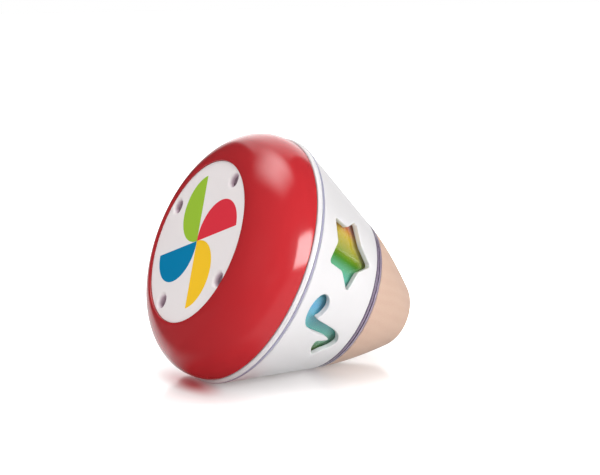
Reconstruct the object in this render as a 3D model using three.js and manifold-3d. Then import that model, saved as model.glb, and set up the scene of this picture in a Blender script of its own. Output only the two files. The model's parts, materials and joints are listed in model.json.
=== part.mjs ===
// Rolling twist-to-wind music box: a red dome, a white windowed band and a turned beech top.
// The toy lies on its conical band. Its own axis runs from the face disc, at height 0, to the wood.
// Lengths are millimetres and angles are degrees.
import * as THREE from 'three';
import { mergeVertices } from 'three/addons/utils/BufferGeometryUtils.js';
import Module from 'manifold-3d';

const wasm = await Module();
wasm.setup();

// Fits
const seamGap = 0.3;
const seatGap = 0.25;
const turningGap = 0.5;
const drumGap = 1.2;
const drumTopGap = 0.9;
const drumFloorGap = 2.5;
const cutOverrun = 1;
const weldDistance = 0.0001;

// Facets
const shellFacets = 36;
const innerFacets = 24;
const smallFacets = 12;
const screwFacets = 8;
const screwSides = 6;
const curveSteps = 4;
const tipArcSteps = 3;

// Outside shape, along the toy's axis from the outer plane of the face disc
const rimRadius = 60;
const bandHeight = 46.9;
const bandEndRadius = 39.4;
const collarHeight = 4.15;
const toyLength = 115.4;

// Dome
const domeWall = 2.2;
const domeRimStep = 1;
const domeMouthRadius = 39.2;
const domeBulge = 0.9;
const domeLandWidth = 1.1;
const domeRadialPower = 1.78;
const domeAxialPower = 1.65;
const domeCurveSteps = 8;
const domeInsideSteps = 5;
const ledgeWidth = 0.9;
const ledgeThickness = 1.1;

// Face disc and its four screw wells
const discThickness = 2.6;
const wellCount = 4;
const wellInset = 5.2;
const firstWellAngle = 21.4;
const wellMouthRadius = 3.9;
const wellFloorRadius = 2.6;
const wellDishDepth = 2.2;
const wellDepth = 4.6;
const wellFloorThickness = 1.4;
const wellWall = 1.3;
const discScrewHoleRadius = 1.2;

// Screws: head radius, head height, shank radius and shank length
const discScrew = { head: 2.3, rise: 1.4, shank: 0.95, length: 12 };
const coneScrew = { head: 1.6, rise: 0.9, shank: 0.7, length: 3.4 };
const collarScrew = { head: 1.5, rise: 0.9, shank: 0.7, length: 4 };
const woodScrew = { head: 3, rise: 1.6, shank: 1.2, length: 12 };
const bedScrew = { head: 2, rise: 1.1, shank: 0.9, length: 3.8 };
const combScrew = { head: 1.9, rise: 1.2, shank: 0.8, length: 4 };
const frameScrew = { head: 1.4, rise: 0.8, shank: 0.6, length: 2.4 };

// Chassis plate, whose white edge shows between the dome and the band
const chassisEdgeThickness = 2.05;
const chassisEdgeStep = 0.7;
const chassisSpigotWall = 2;
const chassisSpigotDepth = 2;
const postRadius = 3.3;
const postBoreDepth = 13;
const chassisHubHoleRadius = 4;

// Clear window cone and clear collar
const flangeThickness = 1.2;
const flangeWidth = 10.5;
const coneWall = 1.5;
const coneEndThickness = 1.8;
const coneScrewCount = 4;
const coneScrewInset = 2.5;
const firstConeScrewAngle = 66;
const collarWidth = 9.4;
const collarGrooveHeight = 1.5;
const collarGrooveDepth = 0.9;
const collarScrewCount = 3;
const collarScrewAngle = 30;

// White sleeve and its windows
const sleeveWall = 2.3;
const windowPairs = 3;
const firstStarAngle = 66;
const firstNoteAngle = 110;
const starRise = 24.2;
const starTipRadius = 18.6;
const starValleyRadius = 11.3;
const starTips = 5;
const starTipRound = 4.5;
const noteRise = 24;
const noteSize = 33;
const noteCurvePoints = 25;
const noteOutlineShares = [
  [-0.5, -0.3], [-0.45, -0.17], [-0.33, -0.12], [-0.21, -0.18], [-0.15, -0.25], [-0.11, -0.16],
  [-0.05, 0.07], [0.01, 0.27], [0.09, 0.42], [0.2, 0.5], [0.31, 0.44], [0.39, 0.32],
  [0.49, 0.24], [0.43, 0.14], [0.34, 0.06], [0.23, 0.04], [0.21, 0.16], [0.18, 0.27],
  [0.13, 0.17], [0.09, -0.02], [0.05, -0.22], [-0.02, -0.4], [-0.14, -0.49], [-0.29, -0.5],
  [-0.43, -0.43],
];

// Colour drum with its centre boss
const drumWall = 1.6;
const drumTopThickness = 2;
const stemTopRadius = 6;
const stemFootRadius = 4.4;
const stemSocketDepth = 12;
const stemRibCount = 4;
const firstRibAngle = 45;
const stemRibThickness = 1.6;
const stemRibReach = 8;
const stemRibHeight = 14;

// Turned beech top
const woodSideBulgeRadius = 30.4;
const woodSideBulgeHeight = 14.5;
const woodSideEndRadius = 17;
const woodSideEndDrop = 3.3;
const woodCornerRadius = 14.6;
const woodFlatRadius = 10.4;
const woodCurveSteps = 5;
const woodScrewCount = 3;
const woodScrewCircleRadius = 20;

// Musical movement, measured from the bedplate's inner face
const movementFloorGap = 4.5;
const bedThickness = 2;
const gearModule = 0.5;
const toothPlay = 0.2;
const pressureAngle = 20;
const addendumShare = 0.9;
const dedendumShare = 1.25;
const crownTeeth = 32;
const cylinderPinionTeeth = 14;
const cylinderWheelTeeth = 26;
const secondPinionTeeth = 10;
const wormWheelTeeth = 24;
const wormPitchRadius = 2;
const cylinderAxisRise = 11.1;
const towardsBedplate = -90;
const towardsSecondArbor = 180;

// Spring housing and mainspring
const housingRadius = 12;
const housingTopGap = 0.575;
const housingWall = 0.8;
const springTurns = 4;
const springStripThickness = 0.3;
const springStripHeight = 3.6;
const springStepsPerTurn = 12;

// Winding arbor, crown wheel and ratchet
const arborRadius = 1.5;
const arborFlatDepth = 0.45;
const crownPlateThickness = 0.85;
const crownFaceWidth = 1.6;
const crownToothInset = 0.15;
const ratchetTeeth = 10;
const ratchetRadius = 4.2;
const ratchetRootRadius = 3.4;
const ratchetLeanAngle = 4;
const ratchetThickness = 0.9;
const pawlLength = 3.6;
const pawlWidth = 1;

// Bridge over the spring housing
const bridgeThickness = 1.2;
const bridgeUnderside = 13.2;
const bridgeSideGap = 1.2;
const bridgeFootLength = 4.6;
const bridgeReachBack = 2.5;
const bridgeReachFront = 5.6;
const lugWidth = 5;
const lugDrop = 3.9;

// Pinned cylinder and comb
const cylinderRadius = 6.5;
const cylinderHousingGap = 0.8;
const trackCount = 18;
const trackPitch = 1.2;
const cylinderWall = 0.8;
const pinsPerTrack = 2;
const pinWidth = 0.45;
const pinRise = 0.7;
const pinSpreadShare = 0.618034;
const shaftRadius = 0.75;
const cylinderPinionWidth = 2;
const wheelWidth = 1.2;
const wheelStandoff = 0.9;
const wheelFrameGap = 1;
const combThickness = 1.2;
const combTipGap = 0.3;
const combSlotWidth = 0.45;
const combLongTooth = 13.5;
const combShortTooth = 7.5;
const combReach = 20;
const combRestDepth = 6.6;
const combScrewInset = 3.6;

// Governor: second arbor, worm wheel, worm and air brake
const framePlateThickness = 0.9;
const frameBaseThickness = 1.1;
const frameLength = 9.2;
const framePlateMargin = 3.2;
const frameBaseSideReach = 7;
const wormStandoff = 4.2;
const wormWheelWidth = 1.4;
const wormThreadTurns = 3;
const wormStepsPerTurn = 9;
const wormRootPoints = 2;
const wormFlankPoints = 2;
const wormCoreRadius = 0.8;
const fanRadius = 3.8;
const fanHeight = 1.7;
const fanThickness = 0.5;
const fanHubRadius = 1.4;
const fanFloorGap = 0.6;
const frameArmRise = 14.7;
const frameArmWidth = 3;

// Bedplate outline, as reaches from the winding arbor
const bedBackReach = 15;
const bedFootMargin = 1.5;
const bedWaist = 10.5;
const bedNarrowReach = 15.5;
const bedFrontMargin = 0.7;
const bedGovernorReach = 13.6;
const bedGovernorSide = 8;
const bedCorner = 2;
const postClearance = 0.7;
const bedScrewShares = [[-0.6, -0.75], [-0.6, 0.75], [1.6, 0.85]];

// Values worked out from the sizes above, up from the face disc and out from the axis
const bedFace = discThickness + movementFloorGap + frameArmRise + framePlateThickness;
const chassisBottom = bedFace + bedThickness + seatGap;
const chassisTop = chassisBottom + chassisEdgeThickness;
const rimHeight = chassisTop + seamGap;
const domeEndHeight = chassisBottom - seamGap;
const domeEndRadius = rimRadius - domeRimStep;
const chassisEdgeRadius = rimRadius - chassisEdgeStep;
const flangeInnerRadius = rimRadius - flangeWidth;
const wellCircleRadius = domeMouthRadius - wellInset;
const bandSlope = (rimRadius - bandEndRadius) / bandHeight;
const bandTurn = Math.atan(bandSlope);
const slantShare = 1 / Math.cos(bandTurn);
const bandTop = rimHeight + bandHeight;
const collarBottom = bandTop + seamGap;
const collarTop = collarBottom + collarHeight - seamGap;
const woodBottom = collarTop + seamGap;
const flangeTop = rimHeight + flangeThickness;
const starHeight = rimHeight + starRise;
const noteHeight = rimHeight + noteRise;
const drumFloorHeight = flangeTop + drumFloorGap;
const drumTopHeight = bandTop - coneEndThickness - drumTopGap;
const spigotRadius = bandEndRadius - collarWidth - turningGap;
const ledgeBottom = discThickness + seamGap;
const wellFloorBottom = wellDepth + wellFloorThickness;
const postBottom = wellFloorBottom + seamGap;
const pitchRadiusOf = (teeth) => gearModule * teeth / 2;
const crownPitchRadius = pitchRadiusOf(crownTeeth);
const crownPitchRise = cylinderAxisRise - pitchRadiusOf(cylinderPinionTeeth);
const crownRootRise = crownPitchRise - dedendumShare * gearModule;
const crownTipRise = crownPitchRise + addendumShare * gearModule;
const crownPlateBottom = crownRootRise - crownPlateThickness;
const housingHeight = crownPlateBottom - housingTopGap;
const bridgeHalfSpan = housingRadius + bridgeSideGap + bridgeThickness;
const bedHalfWidth = bridgeHalfSpan + bridgeFootLength + bedFootMargin;
const cylinderStart = housingRadius + cylinderHousingGap;
const cylinderLength = trackCount * trackPitch;
const cylinderEnd = cylinderStart + cylinderLength;
const cylinderWheelStart = cylinderEnd + wheelStandoff;
const governorStart = cylinderWheelStart + wheelWidth + wheelFrameGap;
const governorEnd = governorStart + frameLength;
const bedFrontReach = governorEnd + bedFrontMargin;
const secondArborSide = -(pitchRadiusOf(cylinderWheelTeeth) + pitchRadiusOf(secondPinionTeeth));
const wormSide = secondArborSide + pitchRadiusOf(wormWheelTeeth) + wormPitchRadius;
const wormPlace = governorStart + framePlateThickness + wormStandoff;
const wormLead = Math.PI * gearModule;
const shaftBore = shaftRadius + seatGap;
const arborBore = arborRadius + seatGap;

const colours = {
  red: 0xd22a30, paleGrey: 0xe4e2e3, white: 0xf1f1f4, clear: 0xd9dbe6, teal: 0x2aa79a, beech: 0xe6c8b0,
  steel: 0xb9bcc2, brass: 0xc9a250, zinc: 0x9fa3a8, springSteel: 0x5b6470,
};

function finish(colour, roughness, metalness) {
  return new THREE.MeshStandardMaterial({ color: colour, roughness, metalness });
}

const glossyRed = finish(colours.red, 0.18, 0);
const palePlastic = finish(colours.paleGrey, 0.45, 0);
const whitePlastic = finish(colours.white, 0.35, 0);
const clearPlastic = finish(colours.clear, 0.08, 0);
const drumPlastic = finish(colours.teal, 0.4, 0);
const beech = finish(colours.beech, 0.62, 0);
const steel = finish(colours.steel, 0.3, 0.95);
const brass = finish(colours.brass, 0.3, 0.9);
const zinc = finish(colours.zinc, 0.5, 0.8);
const springSteel = finish(colours.springSteel, 0.35, 0.9);

const radians = THREE.MathUtils.degToRad;
const onCircle = (radius, angle) => [radius * Math.cos(radians(angle)), radius * Math.sin(radians(angle))];
const evenly = (count, first = 0) => Array.from({ length: count }, (_, i) => first + 360 * i / count);

// Welds a geometry's corners, drops collapsed faces and points the rest outwards.
function weld(geometry) {
  const bare = geometry.clone();
  bare.deleteAttribute('normal');
  bare.deleteAttribute('uv');
  const merged = mergeVertices(bare, weldDistance);
  const corners = merged.index.array;
  const faces = [];
  for (let i = 0; i < corners.length; i += 3) {
    const [a, b, c] = corners.slice(i, i + 3);
    if (a !== b && b !== c && c !== a) faces.push([a, b, c]);
  }
  const places = merged.attributes.position;
  const at = (i) => new THREE.Vector3().fromBufferAttribute(places, i);
  const volume = faces.reduce((sum, [a, b, c]) => sum + at(a).dot(at(b).cross(at(c))), 0);
  merged.setIndex(faces.flatMap(([a, b, c]) => (volume < 0 ? [a, c, b] : [a, b, c])));
  return merged;
}

function toSolid(geometry) {
  const closed = weld(geometry);
  return new wasm.Manifold(new wasm.Mesh({
    numProp: 3,
    vertProperties: new Float32Array(closed.attributes.position.array),
    triVerts: new Uint32Array(closed.index.array),
  }));
}

function toGeometry(solid) {
  const mesh = solid.getMesh();
  const geometry = new THREE.BufferGeometry();
  geometry.setAttribute('position', new THREE.BufferAttribute(new Float32Array(mesh.vertProperties), 3));
  geometry.setIndex(Array.from(mesh.triVerts));
  return geometry;
}

function join(...pieces) {
  return toGeometry(pieces.map(toSolid).reduce((whole, piece) => whole.add(piece)));
}

function cut(piece, ...cutters) {
  return toGeometry(cutters.map(toSolid).reduce((left, cutter) => left.subtract(cutter), toSolid(piece)));
}

// A body of revolution about +Z. Outline points are [radius, height], and a facet faces -X.
function turned(outline, facets) {
  const points = outline.map(([radius, height]) => new THREE.Vector2(radius, height));
  const closesOnAxis = outline[0][0] === 0 && outline.at(-1)[0] === 0;
  if (!closesOnAxis) points.push(points[0].clone());
  return new THREE.LatheGeometry(points, facets, Math.PI / facets).rotateX(Math.PI / 2);
}

function rod(radius, from, to, facets) {
  return turned([[0, from], [radius, from], [radius, to], [0, to]], facets);
}

function ring(inner, outer, from, to, facets) {
  return turned([[inner, from], [outer, from], [outer, to], [inner, to]], facets);
}

function shapeOf(points) {
  return new THREE.Shape(points.map(([x, y]) => new THREE.Vector2(x, y)));
}

// An outline whose corners are drawn round, or every second one where those between stay sharp.
function roundedShape(points, reach, sharpBetween = false) {
  const shape = new THREE.Shape();
  const corners = points.map(([x, y]) => new THREE.Vector2(x, y));
  corners.forEach((corner, i) => {
    const before = corners.at(i - 1);
    const after = corners[(i + 1) % corners.length];
    const shortest = Math.min(corner.distanceTo(before), corner.distanceTo(after));
    if (sharpBetween && i % 2 === 1) {
      shape.lineTo(corner.x, corner.y);
      return;
    }
    const cutBack = Math.min(reach, shortest / 2);
    const start = corner.clone().add(before.clone().sub(corner).setLength(cutBack));
    const end = corner.clone().add(after.clone().sub(corner).setLength(cutBack));
    if (i === 0) shape.moveTo(start.x, start.y);
    else shape.lineTo(start.x, start.y);
    shape.quadraticCurveTo(corner.x, corner.y, end.x, end.y);
  });
  shape.closePath();
  return shape;
}

// Extrudes an outline drawn in the two axes that follow the named one.
function extruded(shape, axis, from, to, curveSegments = 2) {
  const geometry = new THREE.ExtrudeGeometry(shape, { depth: to - from, bevelEnabled: false, curveSegments });
  geometry.translate(0, 0, from);
  const [x, y, z] = [[1, 0, 0], [0, 1, 0], [0, 0, 1]].map((unit) => new THREE.Vector3(...unit));
  const turns = { x: [y, z, x], y: [z, x, y], z: [x, y, z] };
  return geometry.applyMatrix4(new THREE.Matrix4().makeBasis(...turns[axis]));
}

function block(x, y, z) {
  const size = [x, y, z].map(([from, to]) => to - from);
  const middle = [x, y, z].map(([from, to]) => (from + to) / 2);
  return new THREE.BoxGeometry(...size).translate(...middle);
}

function lengthwise(geometry) {
  return geometry.rotateY(Math.PI / 2);
}

// A screw whose head sits on height 0 and whose shank points down.
function screwGeometry({ head, rise, shank, length }) {
  return turned([[0, -length], [shank, -length], [shank, 0], [head, 0], [head, rise], [0, rise]], screwSides);
}

// A cutter for a screw's shank that runs right through the heights from one to the other.
function screwHole([x, y], screw, from, to) {
  return rod(screw.shank + seatGap, from - cutOverrun, to + cutOverrun, screwFacets).translate(x, y, 0);
}

function makePiece(parent, name, geometry, material) {
  const mesh = new THREE.Mesh(weld(geometry), material);
  mesh.name = name;
  parent.add(mesh);
  return mesh;
}

function addScrew(parent, name, size, place, upsideDown) {
  const screw = makePiece(parent, name, screwGeometry(size), steel);
  screw.position.set(...place);
  if (upsideDown) screw.rotation.x = Math.PI;
}

// Outer radius of the conical band at a height on the axis.
const bandRadius = (height) => rimRadius - (height - rimHeight) * bandSlope;
const sleeveInside = (height) => bandRadius(height) - sleeveWall * slantShare;
const coneOutside = (height) => sleeveInside(height) - seamGap * slantShare;
const coneInside = (height) => coneOutside(height) - coneWall * slantShare;
const drumOutside = (height) => coneInside(height) - drumGap * slantShare;
const drumInside = (height) => drumOutside(height) - drumWall * slantShare;

// Points of a rounded dome section, from its mouth to its wide end.
function domeCurve(mouthRadius, mouthHeight, endRadius, endHeight, steps) {
  return Array.from({ length: steps + 1 }, (_, i) => {
    const turn = Math.PI / 2 * (1 - i / steps);
    const out = i === 0 ? 0 : Math.cos(turn) ** (2 / domeRadialPower);
    const up = Math.sin(turn) ** (2 / domeAxialPower);
    return [mouthRadius + (endRadius - mouthRadius) * out, endHeight - (endHeight - mouthHeight) * up];
  });
}

function domeGeometry() {
  const ledgeTop = ledgeBottom + ledgeThickness;
  const outside = domeCurve(
    domeMouthRadius + domeLandWidth, -domeBulge, domeEndRadius, domeEndHeight, domeCurveSteps);
  const inside = domeCurve(
    domeMouthRadius, domeWall - domeBulge, domeEndRadius - domeWall, domeEndHeight, domeInsideSteps);
  const insideDown = inside.filter(([, height]) => height > ledgeTop).reverse();
  const ledgeRadius = domeMouthRadius - ledgeWidth;
  return turned([
    [domeMouthRadius, -domeBulge], ...outside, ...insideDown,
    [insideDown.at(-1)[0] - domeWall, ledgeTop], [ledgeRadius, ledgeTop], [ledgeRadius, ledgeBottom],
    [domeMouthRadius, ledgeBottom],
  ], shellFacets);
}

const wellPlaces = evenly(wellCount, firstWellAngle).map((angle) => onCircle(wellCircleRadius, angle));

function faceDiscGeometry() {
  const cupRadius = wellFloorRadius + wellWall;
  const dish = new THREE.Path();
  dish.moveTo(wellMouthRadius, 0);
  dish.quadraticCurveTo(wellFloorRadius, 0, wellFloorRadius, wellDishDepth);
  const dishPoints = dish.getPoints(curveSteps / 2).map((point) => [point.x, point.y]);
  const cups = [];
  const hollows = [];
  for (const [x, y] of wellPlaces) {
    cups.push(rod(cupRadius, discThickness / 2, wellFloorBottom, smallFacets).translate(x, y, 0));
    hollows.push(turned([
      [0, -cutOverrun], [wellMouthRadius, -cutOverrun], ...dishPoints,
      [wellFloorRadius, wellDepth], [0, wellDepth],
    ], smallFacets).translate(x, y, 0));
    hollows.push(rod(discScrewHoleRadius, 0, wellFloorBottom + cutOverrun, screwFacets).translate(x, y, 0));
  }
  const plate = rod(domeMouthRadius - seamGap, 0, discThickness, shellFacets);
  return cut(join(plate, ...cups), ...hollows);
}

const bedScrewSpots = bedScrewShares.map(([along, side]) => [along * bedBackReach, side * bedHalfWidth]);
const coneScrewPlaces = evenly(coneScrewCount, firstConeScrewAngle)
  .map((angle) => onCircle(flangeInnerRadius + coneScrewInset, angle));
const collarScrewCircle = (spigotRadius + turningGap + coneOutside(bandTop)) / 2;
const collarScrewPlaces = evenly(collarScrewCount, collarScrewAngle)
  .map((angle) => onCircle(collarScrewCircle, angle));

function chassisGeometry() {
  const spigotOuter = domeEndRadius - domeWall - 2 * seamGap;
  const spigotInner = spigotOuter - chassisSpigotWall;
  const middle = (chassisBottom + chassisTop) / 2;
  const plate = turned([
    [chassisHubHoleRadius, chassisTop], [chassisHubHoleRadius, chassisBottom],
    [spigotInner, chassisBottom], [spigotInner, chassisBottom - chassisSpigotDepth],
    [spigotOuter, chassisBottom - chassisSpigotDepth], [spigotOuter, chassisBottom],
    [chassisEdgeRadius, chassisBottom], [rimRadius, middle], [rimRadius, chassisTop],
  ], shellFacets);
  const posts = wellPlaces.map(([x, y]) => (
    rod(postRadius, postBottom, middle, smallFacets).translate(x, y, 0)));
  const bores = wellPlaces.map((place) => (
    screwHole(place, discScrew, postBottom, postBottom + postBoreDepth)));
  const bedHoles = bedScrewSpots.map(([along, side]) => (
    screwHole([-along, side], bedScrew, chassisBottom, chassisTop)));
  const coneHoles = coneScrewPlaces.map((place) => (
    screwHole(place, coneScrew, chassisBottom, chassisTop)));
  return cut(join(plate, ...posts), ...bores, ...bedHoles, ...coneHoles);
}

function clearConeGeometry() {
  const endBottom = bandTop - coneEndThickness;
  const endBore = spigotRadius + turningGap;
  const shell = turned([
    [flangeInnerRadius, rimHeight], [rimRadius, rimHeight], [bandRadius(flangeTop), flangeTop],
    [coneOutside(flangeTop), flangeTop], [coneOutside(bandTop), bandTop], [endBore, bandTop],
    [endBore, endBottom], [coneInside(endBottom), endBottom], [coneInside(flangeTop), flangeTop],
    [flangeInnerRadius, flangeTop],
  ], shellFacets);
  const flangeHoles = coneScrewPlaces.map((place) => screwHole(place, coneScrew, rimHeight, flangeTop));
  const endHoles = collarScrewPlaces.map((place) => screwHole(place, collarScrew, endBottom, bandTop));
  return cut(shell, ...flangeHoles, ...endHoles);
}

function clearCollarGeometry() {
  const bore = spigotRadius + turningGap;
  const stepTop = collarTop - collarScrew.rise - seatGap;
  const stepRadius = collarScrewCircle + collarScrew.head + seatGap;
  const grooveBottom = collarBottom + collarGrooveHeight;
  const grooveTop = grooveBottom + collarGrooveDepth;
  const collar = turned([
    [bore, collarBottom], [bandRadius(collarBottom), collarBottom],
    [bandRadius(grooveBottom), grooveBottom], [bandRadius(grooveBottom) - collarGrooveDepth, grooveBottom],
    [bandRadius(grooveTop), grooveTop],
    [bandRadius(collarTop), collarTop], [stepRadius, collarTop], [stepRadius, stepTop], [bore, stepTop],
  ], shellFacets);
  const holes = collarScrewPlaces.map((place) => screwHole(place, collarScrew, collarBottom, collarTop));
  return cut(collar, ...holes);
}

// A window cutter: an outline drawn on the unrolled band, seen from outside with the wood upwards,
// is bent round the band, laid on the plane that touches it there and pushed through the wall.
function windowCutter(outline, height, angle) {
  const apexHeight = rimHeight + rimRadius / bandSlope;
  const slant = (apexHeight - height) * slantShare;
  const flat = outline.map(([across, up]) => {
    const reach = Math.hypot(across, slant - up);
    const around = Math.atan2(across, slant - up) / Math.sin(bandTurn);
    const radius = reach * Math.sin(bandTurn);
    const depth = radius * Math.cos(around) - slant * Math.sin(bandTurn);
    const rise = (slant - reach) * Math.cos(bandTurn);
    return [radius * Math.sin(around), rise * Math.cos(bandTurn) - depth * Math.sin(bandTurn)];
  });
  const depth = sleeveWall + starTipRadius / 2;
  const cutter = new THREE.ExtrudeGeometry(shapeOf(flat), { depth: 2 * depth, bevelEnabled: false });
  cutter.translate(0, 0, -depth);
  const across = new THREE.Vector3(0, 1, 0);
  const outwards = new THREE.Vector3(Math.cos(bandTurn), 0, Math.sin(bandTurn));
  const upwards = new THREE.Vector3(-Math.sin(bandTurn), 0, Math.cos(bandTurn));
  cutter.applyMatrix4(new THREE.Matrix4().makeBasis(across, upwards, outwards));
  return cutter.translate(bandRadius(height), 0, height).rotateZ(radians(angle));
}

function starOutline() {
  const corners = evenly(2 * starTips, 90).map((angle, i) => (
    onCircle(i % 2 === 0 ? starTipRadius : starValleyRadius, angle)));
  return roundedShape(corners, starTipRound, true).getPoints(tipArcSteps).map((point) => [point.x, point.y]);
}

function noteOutline() {
  const points = noteOutlineShares.map(([across, up]) => (
    new THREE.Vector3(across * noteSize, up * noteSize, 0)));
  const curve = new THREE.CatmullRomCurve3(points, true, 'centripetal');
  return curve.getPoints(noteCurvePoints).slice(0, -1).map((point) => [point.x, point.y]);
}

function sleeveGeometry() {
  const bottom = flangeTop + seamGap;
  const shell = turned([
    [sleeveInside(bottom), bottom], [bandRadius(bottom), bottom], [bandRadius(bandTop), bandTop],
    [sleeveInside(bandTop), bandTop],
  ], shellFacets);
  const stars = evenly(windowPairs, firstStarAngle).map((angle) => (
    windowCutter(starOutline(), starHeight, angle)));
  const notes = evenly(windowPairs, firstNoteAngle).map((angle) => (
    windowCutter(noteOutline(), noteHeight, angle)));
  return cut(shell, ...stars, ...notes);
}

const woodScrewPlaces = evenly(woodScrewCount).map((angle) => onCircle(woodScrewCircleRadius, angle));

function drumGeometry() {
  const plateBottom = drumTopHeight - drumTopThickness;
  const socketTop = drumFloorHeight + stemSocketDepth;
  const cup = turned([
    [0, drumTopHeight], [drumOutside(drumTopHeight), drumTopHeight],
    [drumOutside(drumFloorHeight), drumFloorHeight], [drumInside(drumFloorHeight), drumFloorHeight],
    [drumInside(plateBottom), plateBottom], [stemTopRadius, plateBottom], [stemFootRadius, drumFloorHeight],
    [arborBore, drumFloorHeight], [arborBore, socketTop], [0, socketTop],
  ], shellFacets);
  const ribTop = plateBottom + drumTopThickness / 2;
  const ribBottom = plateBottom - stemRibHeight;
  const ribInner = stemFootRadius - stemRibThickness / 4;
  const ribOuter = stemTopRadius + stemRibReach;
  const ribOutline = shapeOf([
    [ribInner, ribTop], [ribOuter, ribTop], [ribOuter, plateBottom], [stemFootRadius, ribBottom],
    [ribInner, ribBottom],
  ].map(([radius, height]) => [height, radius]));
  const ribs = evenly(stemRibCount, firstRibAngle).map((angle) => (
    extruded(ribOutline, 'y', -stemRibThickness / 2, stemRibThickness / 2).rotateZ(radians(angle))));
  const holes = woodScrewPlaces.map((place) => screwHole(place, woodScrew, plateBottom, drumTopHeight));
  return cut(join(cup, ...ribs), ...holes);
}

function woodGeometry() {
  const spigotBottom = drumTopHeight + seamGap;
  const side = new THREE.Path();
  side.moveTo(bandRadius(woodBottom), woodBottom);
  side.quadraticCurveTo(
    woodSideBulgeRadius, woodBottom + woodSideBulgeHeight, woodSideEndRadius, toyLength - woodSideEndDrop);
  side.quadraticCurveTo(woodCornerRadius, toyLength, woodFlatRadius, toyLength);
  const sidePoints = side.getPoints(woodCurveSteps).map((point) => [point.x, point.y]);
  const body = turned([
    [0, spigotBottom], [spigotRadius, spigotBottom], [spigotRadius, woodBottom], ...sidePoints,
    [0, toyLength],
  ], shellFacets);
  const pilotTop = drumTopHeight - drumTopThickness + woodScrew.length;
  const pilots = woodScrewPlaces.map((place) => screwHole(place, woodScrew, spigotBottom, pilotTop));
  return cut(body, ...pilots);
}

// A gear outline with involute flanks and one tooth centred on a direction.
function gearShape(teeth, toothDirection) {
  const pitchRadius = pitchRadiusOf(teeth);
  const baseRadius = pitchRadius * Math.cos(radians(pressureAngle));
  const rootRadius = pitchRadius - dedendumShare * gearModule;
  const tipRadius = pitchRadius + addendumShare * gearModule;
  const involute = (radius) => {
    const roll = Math.acos(Math.min(1, baseRadius / radius));
    return Math.tan(roll) - roll;
  };
  const pitchHalf = (Math.PI * gearModule / 2 - toothPlay) / 2 / pitchRadius;
  const halfAt = (radius) => THREE.MathUtils.radToDeg(pitchHalf + involute(pitchRadius) - involute(radius));
  const points = evenly(teeth, toothDirection).flatMap((centre) => [
    onCircle(rootRadius, centre - halfAt(baseRadius)), onCircle(tipRadius, centre - halfAt(tipRadius)),
    onCircle(tipRadius, centre + halfAt(tipRadius)), onCircle(rootRadius, centre + halfAt(baseRadius)),
  ]);
  return shapeOf(points);
}

function boredGear(teeth, toothDirection, from, to) {
  const shape = gearShape(teeth, toothDirection);
  const bore = new THREE.Path().absarc(0, 0, shaftBore, 0, 2 * Math.PI, true);
  shape.holes.push(bore);
  return extruded(shape, 'x', from, to, curveSteps);
}

// The movement's own frame has its origin on the winding arbor, X along the cylinder,
// Y towards the comb and Z away from the bedplate.
const toy = new THREE.Group();
const movement = new THREE.Group();
movement.rotation.y = Math.PI;
movement.position.z = bedFace;
toy.add(movement);

const combSide = cylinderRadius + pinRise + combTipGap;

function bedplateGeometry() {
  const combRestTop = cylinderAxisRise - combThickness / 2 - seatGap;
  const combFar = combSide + combReach;
  const plate = extruded(roundedShape([
    [-bedBackReach, -bedHalfWidth], [bedWaist, -bedHalfWidth], [bedWaist + bedCorner, -bedNarrowReach],
    [bedFrontReach / 2, -bedNarrowReach], [bedFrontReach, -bedGovernorReach],
    [bedFrontReach, bedGovernorSide], [governorStart, bedGovernorSide + bedCorner],
    [cylinderEnd + bedCorner, combFar],
    [bedWaist, combFar], [bedWaist, bedHalfWidth], [-bedBackReach, bedHalfWidth],
  ], bedCorner), 'z', -bedThickness, 0);
  const combRest = block(
    [cylinderStart, cylinderEnd], [combFar - combRestDepth, combFar], [-bedThickness / 2, combRestTop]);
  const notches = wellPlaces.map(([x, y]) => (
    rod(postRadius + postClearance, -bedThickness - cutOverrun, combRestTop + cutOverrun, smallFacets)
      .translate(-x, y, 0)));
  const arborHole = rod(arborBore, -bedThickness - cutOverrun, cutOverrun, smallFacets);
  const screwHoles = bedScrewSpots.map((spot) => screwHole(spot, bedScrew, -bedThickness, 0));
  const combHoles = combScrewSpots.map((spot) => (
    screwHole(spot, combScrew, combRestTop - combScrew.length, combRestTop)));
  const frameHoles = frameScrewSpots.map((spot) => screwHole(spot, frameScrew, -bedThickness, 0));
  return cut(join(plate, combRest), ...notches, arborHole, ...screwHoles, ...combHoles, ...frameHoles);
}

const combScrewSpots = [1, 3].map((quarter) => (
  [cylinderStart + cylinderLength * quarter / 4, combSide + combReach - combScrewInset]));
const bridgeScrewSide = bridgeHalfSpan + bridgeFootLength / 2;
const bridgeMiddle = (bridgeReachFront - bridgeReachBack) / 2;
const governorScrewSpot = [(governorStart + governorEnd) / 2, frameBaseSideReach - frameScrew.head - seatGap];
const bridgeScrewSpots = [-bridgeScrewSide, bridgeScrewSide].map((side) => [bridgeMiddle, side]);
const frameScrewSpots = [...bridgeScrewSpots, governorScrewSpot];

function combGeometry() {
  const far = combSide + combReach;
  const outline = [[cylinderEnd, far], [cylinderStart, far]];
  for (let track = 0; track < trackCount; track += 1) {
    const middle = cylinderStart + (track + 0.5) * trackPitch;
    const toothLength = THREE.MathUtils.lerp(combLongTooth, combShortTooth, track / (trackCount - 1));
    const root = combSide + toothLength;
    const half = (trackPitch - combSlotWidth) / 2;
    outline.push([middle - half, root], [middle - half, combSide]);
    outline.push([middle + half, combSide], [middle + half, root]);
  }
  const underside = cylinderAxisRise - combThickness / 2;
  const top = underside + combThickness;
  const comb = extruded(shapeOf(outline), 'z', underside, top);
  const holes = combScrewSpots.map((spot) => screwHole(spot, combScrew, underside, top));
  return cut(comb, ...holes);
}

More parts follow.
